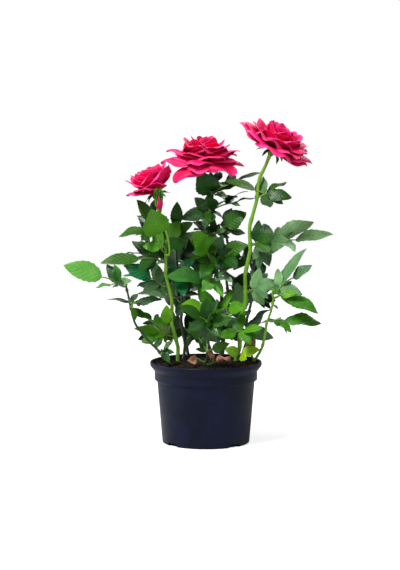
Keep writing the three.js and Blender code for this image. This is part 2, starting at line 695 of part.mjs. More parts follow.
BACK.canes.forEach((name, row) => {
  const random = seeded(100 + row);
  for (let i = 0; i < BACK.count; i += 1) {
    const leaves = [0, 1].map((leaf) => {
      const turn = between(BACK.span, (GOLDEN_ANGLE * (2 * i + leaf + row) / 180) % 1);
      return [turn, between(BACK.reach, random()), between(BACK.rise, random()), BACK.turn, 3,
        between(BACK.length, random())];
    });
    const solid = massSolid(CANES[name], BACK.first + BACK.step * i, leaves, random);
    if (solid) addPart(`${name.replace('cane_', '')}_leaves_${i + 1}`, solid, TINTS.dark, LEAF_ROUGHNESS);
  }
});

export default group;
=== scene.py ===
"""A rose bush in a plastic nursery pot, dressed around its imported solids: three open blooms and a bud on
slim canes, serrated compound leaves, a satin plastic pot and its compost.

Sizes are in millimetres, +Z up, +X to the right and -Y to the front, and become metres in each mesh."""

import json
import math

import bmesh
import bpy
import numpy as np
from mathutils import Matrix, Vector
from mathutils.bvhtree import BVHTree

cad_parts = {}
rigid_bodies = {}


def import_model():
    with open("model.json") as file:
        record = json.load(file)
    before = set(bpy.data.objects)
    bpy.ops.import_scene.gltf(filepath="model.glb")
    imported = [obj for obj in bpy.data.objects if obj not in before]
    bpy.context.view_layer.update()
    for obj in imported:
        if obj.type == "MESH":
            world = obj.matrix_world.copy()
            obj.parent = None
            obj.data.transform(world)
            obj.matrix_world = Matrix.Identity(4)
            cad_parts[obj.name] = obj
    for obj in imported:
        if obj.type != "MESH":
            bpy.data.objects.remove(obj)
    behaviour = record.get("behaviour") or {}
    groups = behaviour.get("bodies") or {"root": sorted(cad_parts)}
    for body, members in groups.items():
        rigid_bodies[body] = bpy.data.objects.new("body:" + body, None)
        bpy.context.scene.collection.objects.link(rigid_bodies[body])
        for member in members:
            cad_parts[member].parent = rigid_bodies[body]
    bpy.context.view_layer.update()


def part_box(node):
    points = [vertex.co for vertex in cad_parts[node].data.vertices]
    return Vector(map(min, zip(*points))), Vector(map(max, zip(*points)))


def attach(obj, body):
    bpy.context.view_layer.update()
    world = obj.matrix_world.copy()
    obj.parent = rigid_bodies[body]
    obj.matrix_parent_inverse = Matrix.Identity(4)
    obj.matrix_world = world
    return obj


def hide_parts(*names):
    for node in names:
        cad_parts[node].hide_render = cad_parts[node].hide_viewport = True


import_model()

MM = 0.001
UP = Vector((0, 0, 1))
FRONT = Vector((0, -1, 0))
NEARLY_UPRIGHT = 0.8
GOLDEN_ANGLE = 137.5


class Sizes:
    """The named sizes of one thing."""

    def __init__(self, **named):
        vars(self).update(named)


def cane(foot, tip, bow, radius, late=1):
    """A cane's course, as listed below."""
    return Sizes(foot=foot, tip=tip, bow=bow, radius=radius, late=late)


# Pot, as the solid: radii and heights of its wall, step, band and lip. Soil: the mound inside it.
POT_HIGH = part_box("pot")[1] / MM
POT = Sizes(
    height=POT_HIGH.z, lip=POT_HIGH.x, base=46.8, step=(52.4, 67), band=(55.2, 77.5), lip_bottom=83.5,
    edge=1.2, wall=1.5, segments=144, rounding=(1.4, 1.2, 1.0, 1.0, 0.9, 1.1, 0.8, 1.0, 1.0, 1.0, 1.0),
)
CORNER_STEPS = 4
NOTCH = Sizes(width=14, height=3.2, depth=4, first=40, count=4)
SOIL = Sizes(radius=56.2, top=86.4, settled=1, mound=3.5, depth=7, rings=24, segments=110, lumps=0.9,
             under=0.98, steep=0.2)

# Canes: foot and tip, the sideways bow between them, radius at foot and tip, how late the bow comes.
FOOT_HEIGHT = 74
CANE_STEP = 24
CANES = {
    "right": cane((30, -6), (65, -18, 304), (-7, -3), (2.5, 1.7), 2.6),
    "middle": cane((17, 6), (-2, 10, 287), (6, 2), (2.2, 1.5)),
    "left": cane((-28, -8), (-50, -24, 257), (0, 0), (2.2, 1.4)),
    "left_back": cane((-24, 8), (-34, 14, 212), (3, 3), (1.8, 1.2)),
    "low_left": cane((-22, -20), (-84, -36, 174), (-16, -2), (1.6, 1)),
    "low_right": cane((46, 4), (70, -36, 168), (6, 0), (1.6, 1)),
    "right_back": cane((36, 16), (54, 26, 212), (3, 5), (1.8, 1.1)),
    "front": cane((-4, -26), (2, -56, 142), (3, -3), (1.6, 1.1)),
    "back_left": cane((-14, 26), (-34, 52, 196), (-6, 8), (1.9, 1.1)),
    "back_right": cane((14, 30), (22, 58, 222), (4, 8), (1.9, 1.1)),
}
CANE_LINE = Sizes(step=3.0, straight=3)
JOINT = Sizes(spacing=26, kink=1.7, swell=0.8)
LIMB_STEPS = 12

# What grows on a cane starts this far clear of it.
GAP = 0.3

# Green canes, and those that no finer leaf hides.
GREEN_CANES = ("right", "left", "low_right")
CLEAR_CANES = ("right", "low_right")

# Leaves: the blade of a leaflet, how much it varies, and the twigs that carry the leaflets.
LEAFLET = Sizes(
    ratio=0.53, thickness=0.28, fold=0.2, arch=0.06, spread=60, pairs=(0.34, 1.05), nearest=(0.32, 0.12),
    shrink=(0.86, 0.68), rows=14, rib=0.02, rib_taper=0.8, tooth=0.07, tooth_lean=0.28, fullness=2.8,
    root_power=0.62, tip_power=0.93, flat_edge=0.5, droop=0.03, waves=1.6, crumple=0.16, creases=(9, 3),
)
LEAF_SWING = Sizes(fold=(0.7, 1.6), droop=0.05, wave=0.05, twist=0.35, tilt=26, tone=0.3)
# Tones of the leaves that give each mass its outline, lighter than FINER.tones, which paint shade inside the
# crown.
LEAF_TONES = (0.85, 0.25)
MIDDLE_TONE = 0.5
RIB_SIDES = {"low": -1.0, "high": 1.0}
TWIG = Sizes(
    stem=1.2, leaf=0.95, end=0.55, sides=6, fork=7, fork_rise=0.6, sunk=1.5, aside=0.2, arch=0.14,
    base_lift=0.4, shortest=2, steps=8, stem_steps=5, tone=0.4,
)
JITTER = Sizes(angle=9, length=0.08)

# Leaves whose directions add up to less than this point no way together.
BALANCED = 0.2

# Masses of leaves: the cane that carries each, the height of its joint, its tint and its leaves. A leaf is
# (azimuth, reach, rise, turn, leaflets, length, ratio): where it points (0 right, 90 back, 180 left,
# 270 front), how far out and up from the joint its tip stands, how far its face turns from straight up
# towards the front, how many leaflets it has, how long the last one is and, if unusual, its width ratio.
MASSES = [
    ("far_left_leaves", "low_left", 172, "light",
     [(187, 66, 23, 65, 1, 43), (200, 13, 24, 62, 1, 21), (196, 33, -1, 40, 1, 17)]),
    ("far_right_leaves", "right_back", 204, "sage",
     [(339, 88, 20, 26, 3, 44, 0.4), (352, 63, 33, 56, 1, 47, 0.5), (325, 42, 14, 62, 1, 31, 0.7)]),
    ("left_face_leaf", "left", 208, "mid", [(251, 40, 47, 85, 1, 36, 0.84)]),
    ("upright_leaf", "middle", 190, "mid", [(230, 42, 38, 85, 1, 34, 0.7)]),
    ("right_pale_leaf", "right", 128, "sage", [(104, 16, 44, 80, 1, 34, 0.66)]),
    ("upper_right_leaves", "right", 266, "dark",
     [(342, 39, -1, 76, 1, 40, 0.52), (12, 34, 15, 10, 1, 30, 0.42), (184, 33, 17, 52, 1, 34, 0.46)]),
    ("rising_right_leaves", "low_right", 165, "sage",
     [(14, 37, 47, 35, 1, 50, 0.42), (350, 42, 30, 44, 1, 26), (60, 12, 25, 66, 1, 26)]),
    ("hanging_right_leaves", "low_right", 160, "mid",
     [(345, 50, -15, 60, 1, 37), (332, 28, 6, 62, 1, 22)]),
    ("low_right_leaves", "low_right", 134, "mid",
     [(346, 57, -1, 46, 1, 40, 0.44), (300, 18, -4, 60, 1, 18)]),
    ("left_reaching_leaves", "left", 196, "dark", [(191, 70, 1, 34, 3, 42, 0.42)]),
    ("left_shoulder_leaves", "left", 230, "dark",
     [(186, 46, -6, 40, 3, 28), (198, 27, 33, 66, 1, 27, 0.62)]),
    ("left_glossy_leaves", "left", 170, "teal", [(199, 50, 24, 65, 1, 35), (168, 50, 12, 36, 3, 30)]),
    ("low_left_tip_leaves", "low_left", 150, "dark",
     [(186, 25, 9, 30, 1, 25, 0.42), (352, 35, 9, 24, 1, 27, 0.4), (296, 13, -14, 60, 1, 15)]),
    ("low_left_leaves", "left", 116, "mid",
     [(184, 44, 9, 50, 3, 26), (247, 22, 36, 80, 1, 25), (178, 49, 30, 50, 1, 21)]),
    ("left_foot_leaves", "low_left", 98, "dark", [(318, 20, 4, 68, 3, 18), (285, 12, -5, 72, 1, 13)]),
    ("between_blooms_leaves", "left_back", 206, "dark",
     [(280, 14, 53, 60, 3, 27), (262, 26, 22, 75, 3, 28)]),
    ("left_centre_leaves", "left_back", 178, "teal",
     [(262, 38, 16, 75, 3, 28), (278, 42, -18, 72, 1, 28)]),
    ("under_bloom_leaves", "middle", 262, "dark",
     [(245, 25, 28, 84, 1, 37, 0.9), (7, 58, 28, 16, 3, 30, 0.42)]),
    ("upper_middle_leaves", "middle", 245, "dark",
     [(206, 36, -4, 50, 3, 30), (262, 26, -8, 80, 1, 29, 0.7), (350, 50, 18, 10, 3, 26, 0.42)]),
    ("middle_side_leaves", "middle", 220, "dark",
     [(214, 46, 0, 30, 3, 34, 0.45), (335, 37, 28, 74, 1, 27, 0.8)]),
    ("broad_centre_leaves", "middle", 172, "light", [(216, 68, 11, 52, 1, 46, 0.44)]),
    ("middle_right_leaves", "middle", 198, "dark",
     [(326, 38, 16, 70, 1, 28, 0.66), (300, 42, -8, 60, 3, 26)]),
    ("centre_fan_leaves", "middle", 138, "mid", [(225, 60, 14, 60, 3, 30), (300, 50, 12, 50, 3, 28)]),
    ("front_heart_leaves", "front", 136, "dark", [(318, 34, 6, 62, 3, 29), (212, 36, 20, 70, 3, 27)]),
    ("front_low_leaves", "front", 104, "dark",
     [(196, 20, 32, 75, 1, 21, 0.7), (334, 26, 10, 65, 1, 20)]),
    ("right_teal_leaves", "right", 214, "dark", [(322, 34, 12, 62, 3, 27)]),
    ("right_heart_leaves", "right", 164, "sage", [(334, 38, 14, 55, 3, 26)]),
    ("right_olive_leaves", "right", 118, "mid",
     [(314, 34, 9, 60, 3, 24), (206, 26, -1, 65, 1, 20, 0.6)]),
    ("lime_leaves", "right", 94, "lime",
     [(338, 27, 8, 64, 1, 20, 0.76), (296, 23, -1, 68, 1, 18, 0.84), (232, 21, 10, 64, 1, 18, 0.74)]),
    ("dry_leaves_front", "front", 92, "dry", [(208, 22, 3, 76, 1, 19, 0.85)]),
    ("dry_leaves_inner", "front", 90, "dry",
     [(300, 10, 22, 80, 1, 18, 0.36), (14, 28, 3, 40, 1, 18, 0.42)]),
    ("dry_leaf_right", "low_right", 88, "dry", [(128, 8.5, 27, 82, 1, 22, 0.72)]),
]

# Masses at the back follow one rule: pairs of leaves up each cane, turning by the golden angle.
BACK = Sizes(
    canes=("back_left", "back_right", "right_back", "left_back"),
    first=112, step=38, count=3, reach=(50, 66), rise=(2, 26), turn=-40, leaflets=3, length=(32, 40),
    span=(10, 170),
)

# The finer leaves that fill each mass: smaller, nearer the cane and darker than the leaves that give its
# outline; their darker tones are painted shade inside the crown.
FINER = Sizes(
    count={"low_left": 2, "low_right": 2, "right": 6, "front": 6}, usual=10, swing=80, reach=(0.35, 0.95),
    most_reach=56, sag=0.6, drop=(-16, 16), turn=45, leaflets=5, length=(0.6, 0.95), short_length=(17, 29),
    ratio=(0.4, 0.64), bare=("lime", "dry"), above_pot=20, pale=0.2, tones=(0.62, 0),
)

# Blooms: the cane that carries each, the length of its stalk, the way it faces, its sepals and its petals,
# whose spans run from the heart outwards. A petal of the skirt is (azimuth, lean, curl, length).
BLOOMS = {
    "right": Sizes(
        cane="right", stalk=7, face=(0.47, -0.16, 0.87), hip=5, sepals=125, sepal_length=17, petals=38,
        length=(25, 41), lean=(4, 78), opening=0.62, curl=(-8, 92), roll=60, taper=0.1,
        skirt=[(165, 72, 84, 44), (20, 80, 98, 43)],
    ),
    "middle": Sizes(
        cane="middle", stalk=6, face=(0.02, 0.0, 1), hip=5, sepals=130, sepal_length=17, petals=30,
        length=(30, 38), lean=(4, 72), opening=0.48, curl=(-8, 118), roll=40, taper=0.14,
        skirt=[(214, 92, 160, 42), (182, 74, 108, 45), (318, 80, 138, 43), (4, 76, 112, 42),
               (262, 84, 132, 36), (196, 58, 84, 42), (344, 57, 78, 41), (246, 46, 72, 39),
               (298, 48, 70, 39)],
    ),
    "left": Sizes(
        cane="left", stalk=7, face=(-0.34, -0.04, 0.94), hip=4.6, sepals=118, sepal_length=15, petals=27,
        length=(26, 34), lean=(3, 50), opening=0.6, curl=(-14, 30), roll=46, taper=0.1,
        skirt=[(200, 64, 78, 29), (234, 60, 70, 29), (272, 58, 62, 27)],
    ),
}

# Petals, stalks, hips (height, rise and tone) and sepals.
PETAL = Sizes(
    rows=12, columns=12, thickness=0.5, ratio=1.22, core=2.2, wrap=8.5, most_wrap=1.9, samples=48, hollow=1.5,
    side_roll=(0.05, 0.28), rolls=(0.25, 1), growth=0.9, fullness=1.3, end=0.93, squareness=5, end_power=0.55,
    foot=1.2, cusp=0.05, shoulder=0.2, shoulder_power=2.4, inset=0.04, rolled_from=0.7, bend=1.5, ruffle=0.06,
    waves=0.9, tones=(0.25, 0.75), shaded=1.2,
)
PETAL_SWING = Sizes(azimuth=10, length=0.05, lean=3, curl=5, roll=12)
STALK = Sizes(steps=6, sunk=2, swell=0.08, sides=12, tone=0.6)
HIP = Sizes(radius=0.9, bloom=(1.25, 0.7, 0.4), bud=(1.2, 0.4, 0.6), steps=9, segments=14)
SEPAL = Sizes(count=5, first=20, ratio=0.26, bud_ratio=0.17, root=(0.5, 1.2), swing=0.07, crumple=0.06,
              tone=0.35)
BUD = Sizes(
    cane="left", height=204, azimuth=310, fork=5, rise=(-5, -28, 48), stalk=1, steps=8, sides=8,
    tone=0.6, face=(-0.05, -0.1, 0.99), tall=8, hip=3, sepals=3, sepal_length=21, petals=6, petal_width=11,
    sunk=0.3, lean=13, curl=-20, roll=6, side_roll=0.02, hollow=0.2, taper=0.5,
)

# First seeds of the draws.
SEEDS = Sizes(mass=1, finer=500, back=100, back_finer=700, back_row=10, spread=7, bloom=41, bud=77)

# Colours of the leaves: upper side, rib and underside.
TINTS = {
    "dark": ("#1a4c08", "#7aa650", "#4c7a44"),
    "teal": ("#085a32", "#7cb894", "#3f7a5c"),
    "mid": ("#43850a", "#94bc58", "#68945a"),
    "light": ("#488c32", "#b0d48c", "#7cac70"),
    "sage": ("#62905a", "#aecda0", "#7ea076"),
    "lime": ("#94c61a", "#c8e070", "#9cc24a"),
    "dry": ("#b08468", "#ccaa90", "#b08c72"),
}
WHITE = (1, 1, 1, 1)
GREY = (0.5, 0.5, 0.5, 1)

# Camera, floor and lights: azimuth, elevation, distance and size in metres, and power of each light.
VIEW = Sizes(target=(-6.4, 0, 169.7), elevation=6, distance=2000, width=428)
STAGE = Sizes(radius=1.6, segments=96, paper=(0.6, 0.6, 0.6, 1), glow=0.62, ambient=0.34)
LIT = (0, 0, 0.18)
LIGHTS = (
    ("key", -42, 54, 1.6, 0.5, 30), ("fill", 52, 25, 1.8, 1.0, 3.5),
    ("side", -96, 12, 1.4, 0.6, 8), ("rim", 160, 40, 1.7, 0.8, 10),
)
SOCKETS = {float: "NodeSocketFloat", int: "NodeSocketInt", tuple: "NodeSocketColor"}


# Numbers and directions


def seeded(seed):
    """Numbers between 0 and 1 from a fixed seed."""
    state = seed

    def draw():
        nonlocal state
        state = (state * 1664525 + 1013904223) % 4294967296
        return state / 4294967296

    return draw


def between(span, share):
    return span[0] + (span[1] - span[0]) * share


def swing(random, amount):
    return amount * (2 * random() - 1)


def direction(azimuth):
    return Vector((math.cos(math.radians(azimuth)), math.sin(math.radians(azimuth)), 0))


def sight(azimuth, elevation):
    """The way back from the plant: azimuth 0 is the front, 90 the right."""
    turn, lift = math.radians(azimuth), math.radians(elevation)
    return Vector((math.sin(turn) * math.cos(lift), -math.cos(turn) * math.cos(lift), math.sin(lift)))


def across(vector, axis):
    return (vector - axis * vector.dot(axis)).normalized()


def face_of(along, turn):
    """The way a leaf faces: up, turned towards the front (or, below 0, the back)."""
    angle = math.radians(abs(turn))
    towards = FRONT if turn >= 0 else -FRONT
    return (across(UP, along) * math.cos(angle) + across(towards, along) * math.sin(angle)).normalized()


def shares(steps):
    return [i / steps for i in range(steps + 1)]


def curve_point(start, middle, end, share):
    rest = 1 - share
    return start * rest * rest + middle * 2 * rest * share + end * share * share


def curve(start, middle, end, steps):
    return [curve_point(start, middle, end, share) for share in shares(steps)]


def curve_tangent(start, middle, end, share):
    return ((middle - start) * (1 - share) + (end - middle) * share).normalized()


# Meshes


class Batch:
    """Points and faces gathered for one joined piece, in millimetres."""

    def __init__(self):
        self.points, self.faces, self.finishes, self.places, self.tones = [], [], [], [], []

    def add(self, points, faces, finishes=None, places=None, tone=MIDDLE_TONE):
        first = len(self.points)
        self.points.extend(tuple(point) for point in points)
        self.faces.extend(tuple(first + corner for corner in face) for face in faces)
        self.finishes.extend(finishes or [0] * len(faces))
        self.places.extend(places or [(0.5, 0.5)] * len(points))
        self.tones.extend([tone] * len(points))

    def add_blade(self, points, plan, tone):
        self.add(points, plan.faces, plan.finishes, plan.places, tone)

    def piece(self, name, materials, angle=50):
        mesh = bpy.data.meshes.new(name)
        mesh.from_pydata((np.array(self.points) * MM).tolist(), [], self.faces)
        mesh.polygons.foreach_set("material_index", self.finishes)
        corners = np.empty(len(mesh.loops), int)
        mesh.loops.foreach_get("vertex_index", corners)
        layer = mesh.uv_layers.new(name="place")
        layer.uv.foreach_set("vector", np.array(self.places, float)[corners].ravel())
        mesh.attributes.new("tone", "FLOAT", "POINT").data.foreach_set("value", self.tones)
        return finished(name, mesh, materials, angle)


def stand(name, data):
    """A new object in the scene."""
    made = bpy.data.objects.new(name, data)
    bpy.context.scene.collection.objects.link(made)
    return made


def edited(mesh, change):
    """A mesh after a change to its corners, edges and faces."""
    work = bmesh.new()
    work.from_mesh(mesh)
    change(work)
    work.to_mesh(mesh)
    work.free()
    return mesh


def modified(holder):
    """The mesh of an object after its modifiers."""
    graph = bpy.context.evaluated_depsgraph_get()
    return bpy.data.meshes.new_from_object(holder.evaluated_get(graph), depsgraph=graph)


def finished(name, mesh, materials, angle=50):
    """A smooth piece whose edges stay sharp where its faces meet at more than the angle."""
    def smooth(work):
        for edge in work.edges:
            edge.smooth = edge.calc_face_angle(0) < math.radians(angle)
        for face in work.faces:
            face.smooth = True

    mesh.name = name
    mesh.materials.clear()
    for material in materials:
        mesh.materials.append(material)
    edited(mesh, smooth).validate()
    return stand(name, mesh)


def declare(piece, slot, *nodes):
    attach(piece, "root")
    if nodes:
        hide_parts(*nodes)


def ring_faces(a, b, count):
    """The faces between two rings of points that start at a and b."""
    for j in range(count):
        after = (j + 1) % count
        yield a + j, a + after, b + after, b + j


def tube(batch, points, radii, sides=6, tone=MIDDLE_TONE):
    """A round limb with closed ends through the points."""
    corners, places, faces = [], [], []
    last = len(points) - 1
    side = None
    for i, point in enumerate(points):
        along = (points[min(i + 1, last)] - points[max(i - 1, 0)]).normalized()
        side = across(side or (UP if abs(along.z) < NEARLY_UPRIGHT else FRONT), along)
        other = along.cross(side)
        for j in range(sides):
            angle = 2 * math.pi * j / sides
            corners.append(point + (side * math.cos(angle) + other * math.sin(angle)) * radii[i])
            places.append((j / sides, i / last))
    for i in range(last):
        faces.extend(ring_faces(i * sides, (i + 1) * sides, sides))
    faces += [tuple(reversed(range(sides))), tuple(range(len(corners) - sides, len(corners)))]
    batch.add(corners, faces, None, places, tone)


# Node trees


def rgb(code):
    """A hex colour as linear values."""
    shares = [int(code[i:i + 2], 16) / 255 for i in (1, 3, 5)]
    return (*(s / 12.92 if s < 0.04045 else ((s + 0.055) / 1.055) ** 2.4 for s in shares), 1)


class Nodes:
    """Short calls that add and link nodes in one tree. A space in a socket's name is written _."""

    def __init__(self, tree):
        self.tree = tree

    def put(self, socket, value):
        if isinstance(value, bpy.types.NodeSocket):
            self.tree.links.new(value, socket)
        else:
            socket.default_value = value

    def fill(self, sockets, values):
        for key, value in values.items():
            self.put(sockets[key.replace("_", " ")], value)

    def add(self, kind, settings=None, *first, **named):
        """A node with its settings, its first sockets in order and others by name."""
        node = self.tree.nodes.new(kind)
        for key, value in (settings or {}).items():
            setattr(node, key, value)
        for socket, value in zip(node.inputs, first):
            self.put(socket, value)
        self.fill(node.inputs, named)
        return node

    def out(self, kind, settings=None, *first, **named):
        return self.add(kind, settings, *first, **named).outputs[0]

    def math(self, operation, *values):
        return self.out("ShaderNodeMath", {"operation": operation}, *values)

    def centred(self, value):
        """A value from 0 to 1, spread from -1 to 1."""
        return self.math("MULTIPLY_ADD", value, 2.0, -1.0)

    def rest(self, value):
        return self.math("SUBTRACT", 1.0, value)

    def mix(self, share, first, second):
        node = self.add("ShaderNodeMix", {"data_type": "RGBA"}, share)
        self.put(node.inputs[6], first)
        self.put(node.inputs[7], second)
        return node.outputs[2]

    def spread(self, value, low, high, to_low=0.0, to_high=1.0):
        return self.out("ShaderNodeMapRange", {"interpolation_type": "SMOOTHSTEP"},
                        value, low, high, to_low, to_high)

    def noise(self, scale, detail=3.0, roughness=0.5, vector=None, distortion=0.0):
        if vector is None:
            vector = self.add("ShaderNodeTexCoord").outputs["Object"]
        return self.out("ShaderNodeTexNoise", Scale=scale, Detail=detail, Roughness=roughness,
                        Distortion=distortion, Vector=vector)

    def place(self):
        """The piece's own two coordinates: across, along, and how far aside of the middle."""
        both = self.out("ShaderNodeUVMap", {"uv_map": "place"})
        over, along, _ = self.add("ShaderNodeSeparateXYZ", {}, both).outputs
        return over, along, self.math("ABSOLUTE", self.centred(over))

    def group(self, group, **values):
        return self.add("ShaderNodeGroup", {"node_tree": group}, **values).outputs


def new_tree(name, kind, inputs, outputs):
    """A node tree with its sockets, each by its value or its kind, and the calls that fill it."""
    tree = bpy.data.node_groups.new(name, kind)
    for way, sockets in (("INPUT", inputs), ("OUTPUT", outputs)):
        for label, value in sockets.items():
            known = value if isinstance(value, str) else SOCKETS[type(value)]
            socket = tree.interface.new_socket(label.replace("_", " "), in_out=way, socket_type=known)
            if known != value:
                socket.default_value = value
    nodes = Nodes(tree)
    return tree, nodes, nodes.add("NodeGroupInput").outputs, nodes.add("NodeGroupOutput").inputs


def material(name, roughness=0.5, **values):
    """A new material: its calls and its Principled shader, with uniform values on the shader itself."""
    made = bpy.data.materials.new(name)
    made.use_nodes = True
    nodes, shader = Nodes(made.node_tree), made.node_tree.nodes["Principled BSDF"].inputs
    nodes.fill(shader, {"Roughness": roughness, **values})
    return made, nodes, shader


def bump(nodes, shader, height, distance):
    nodes.put(shader["Normal"], nodes.out("ShaderNodeBump", Height=height, Distance=distance * MM,
                                          Strength=1.0))


def toning_group():
    """Each leaf, twig or petal has its own tone, partly random and partly painted shade (finer leaves inside
    the crown and hanging petals darker), and the surface drifts a little around it.
    """
    group, nodes, given, result = new_tree(
        "toning", "ShaderNodeTree", {"Color": GREY, "Tone_Spread": 0.3, "Drift": 0.15, "Drift_Scale": 90.0},
        {"Color": GREY})
    own = nodes.add("ShaderNodeAttribute", {"attribute_name": "tone"}).outputs["Fac"]
    drift = nodes.centred(nodes.noise(given["Drift Scale"]))
    lift = nodes.math("ADD", nodes.math("MULTIPLY", nodes.centred(own), given["Tone Spread"]),
                      nodes.math("MULTIPLY", drift, given["Drift"]))
    nodes.put(result["Color"], nodes.out(
        "ShaderNodeHueSaturation", Hue=nodes.math("MULTIPLY_ADD", lift, -0.03, 0.5),
        Value=nodes.math("ADD", lift, 1.0), Color=given["Color"]))
    return group


def vein_group():
    """Side veins that leave the rib and slant forwards, with the blade rounded between them."""
    group, nodes, given, result = new_tree(
        "leaf_veins", "ShaderNodeTree", {"Count": 9.0, "Slant": 0.3, "Width": 0.12},
        {"Lines": 0.0, "Height": 0.0})
    _, along, aside = nodes.place()
    start = nodes.math("SUBTRACT", along, nodes.math("MULTIPLY", aside, given["Slant"]))
    phase = nodes.math("FRACT", nodes.math("MULTIPLY", start, given["Count"]))
    gap = nodes.math("MULTIPLY", nodes.math("ABSOLUTE", nodes.math("SUBTRACT", phase, 0.5)), 2.0)
    line = nodes.spread(gap, nodes.rest(given["Width"]), 1.0)
    fade = nodes.spread(aside, 0.98, 0.5)
    swell = nodes.math("SQRT", nodes.rest(nodes.math("MULTIPLY", gap, gap)))
    nodes.put(result["Lines"], nodes.math("MULTIPLY", line, fade))
    nodes.put(result["Height"], nodes.math("MULTIPLY", swell, fade))
    return group


def petal_group():
    """The rim, the foot, the tip and the fine lengthwise streaks of a petal."""
    group, nodes, given, result = new_tree(
        "petal_parts", "ShaderNodeTree", {"Rim_Width": 0.14, "Streaks": 26.0},
        {"Rim": 0.0, "Foot": 0.0, "Streak": 0.0, "Tip": 0.0})
    over, along, aside = nodes.place()
    edge = nodes.math("MAXIMUM", nodes.math("POWER", aside, 1.6), along)
    lines = nodes.out("ShaderNodeCombineXYZ", X=nodes.math("MULTIPLY", over, given["Streaks"]),
                      Y=nodes.math("MULTIPLY", along, 2.0))
    tip = nodes.math("SUBTRACT", along, nodes.math("MULTIPLY", aside, 0.8))
    nodes.put(result["Rim"], nodes.spread(edge, nodes.rest(given["Rim Width"]), 1.0))
    nodes.put(result["Foot"], nodes.spread(along, 0.55, 0.0))
    nodes.put(result["Streak"], nodes.noise(1.0, 4.0, 0.6, vector=lines))
    nodes.put(result["Tip"], nodes.spread(tip, 0.9, 1.0))
    return group


TONING = toning_group()
VEINS = vein_group()
PETAL_PARTS = petal_group()


# Finishes


def toned(nodes, shader, color, **values):
    """Colours a finish, with the tone of each of its parts."""
    nodes.put(shader["Base Color"], nodes.group(TONING, Color=color, **values)["Color"])


def veined(nodes, shader, blade, rib, width, **values):
    """Colours one side of a leaf with its veins."""
    veins = nodes.group(VEINS, Count=7.0, Slant=0.26, Width=width)
    toned(nodes, shader, nodes.mix(nodes.math("MULTIPLY", veins["Lines"], 0.4), blade, rib), **values)
    return veins


def leaf_finishes(tint):
    """The upper side, the rib and the underside of a leaf."""
    upper, rib, under = (rgb(code) for code in TINTS[tint])
    dry, glossy = tint == "dry", tint in ("dark", "teal")

    top, nodes, shader = material(f"leaf_{tint}_upper", Coat_Roughness=0.22, Specular_IOR_Level=0.22)
    veins = veined(nodes, shader, upper, rib, 0.11, Tone_Spread=0.66, Drift=0.4, Drift_Scale=70.0)
    coat = 0.0 if dry else 0.5 if glossy else 0.2
    nodes.put(shader["Coat Weight"], nodes.spread(nodes.noise(34.0, 2.0), 0.46, 0.66, 0.0, coat))
    rough = nodes.noise(240.0, 4.0)
    nodes.put(shader["Roughness"], nodes.spread(rough, 0.2, 0.8, 0.6 if dry else 0.3, 0.85 if dry else 0.52))
    bump(nodes, shader, nodes.math("ADD", veins["Height"], nodes.math("MULTIPLY", rough, 0.25)), 0.3)

    middle, nodes, shader = material(f"leaf_{tint}_rib")
    toned(nodes, shader, rib, Tone_Spread=0.25, Drift=0.1)
    bump(nodes, shader, nodes.noise(900.0), 0.1)

    back, nodes, shader = material(f"leaf_{tint}_under", 0.7)
    veins = veined(nodes, shader, under, rib, 0.2, Tone_Spread=0.25, Drift=0.15)
    bump(nodes, shader, nodes.math("ADD", veins["Lines"], nodes.noise(800.0)), 0.25)
    return [top, middle, back]


def petal_finish(name, body, rim, foot, rim_highlight_share):
    made, nodes, shader = material(name, Specular_IOR_Level=0.18)
    parts = nodes.group(PETAL_PARTS, Rim_Width=0.16, Streaks=26.0)
    color = nodes.mix(nodes.math("MULTIPLY", parts["Foot"], 0.85), rgb(body), rgb(foot))
    # The rim colour is a painted highlight: lighter pink on the rolled edges, and the streaks lean a little
    # towards it too.
    color = nodes.mix(nodes.spread(parts["Streak"], 0.35, 0.7, 0.0, 0.14), color, rgb(rim))
    color = nodes.mix(nodes.math("MULTIPLY", parts["Rim"], rim_highlight_share), color, rgb(rim))
    color = nodes.mix(nodes.math("MULTIPLY", parts["Tip"], 0.35), color, rgb("#5a1030"))
    toned(nodes, shader, color, Tone_Spread=0.3, Drift=0.15, Drift_Scale=60.0)
    bump(nodes, shader, parts["Streak"], 0.35)
    return made


def cane_finish(name, green, shade, blush, share):
    """Bark of a young cane: green with darker streaks and a reddish blush."""
    made, nodes, shader = material(name, 0.42, Coat_Weight=0.1, Coat_Roughness=0.3)
    coords = nodes.add("ShaderNodeTexCoord").outputs["Object"]
    stretched = nodes.out("ShaderNodeMapping", Vector=coords, Scale=(1, 1, 0.12))
    streaks = nodes.noise(900.0, 4.0, 0.6, vector=stretched)
    patches = nodes.noise(45.0, 3.0, 0.6)
    color = nodes.mix(nodes.spread(streaks, 0.35, 0.7), rgb(green), rgb(shade))
    color = nodes.mix(nodes.spread(patches, 0.58, 0.75, 0.0, share), color, rgb(blush))
    toned(nodes, shader, color, Tone_Spread=0.2, Drift=0.1)
    nodes.put(shader["Roughness"], nodes.spread(streaks, 0.2, 0.8, 0.32, 0.6))
    bump(nodes, shader, streaks, 0.15)
    return made


def pot_finish():
    """Thin dark plastic: a satin skin with cloudy scuffs, fine grain and dusty splashes."""
    made, nodes, shader = material("pot_plastic", 0.42, Specular_IOR_Level=0.14)
    clouds = nodes.noise(26.0, 5.0, 0.62, distortion=0.6)
    grain = nodes.noise(900.0, 2.0)
    color = nodes.mix(nodes.spread(clouds, 0.35, 0.72), rgb("#0b1022"), rgb("#121a36"))
    dust = nodes.noise(120.0, 6.0, 0.7)
    color = nodes.mix(nodes.spread(dust, 0.62, 0.8, 0.0, 0.25), color, rgb("#343a54"))
    nodes.put(shader["Base Color"], color)
    nodes.put(shader["Roughness"], nodes.spread(clouds, 0.3, 0.75, 0.34, 0.56))
    bump(nodes, shader, nodes.math("ADD", clouds, nodes.math("MULTIPLY", grain, 0.15)), 0.35)
    return made


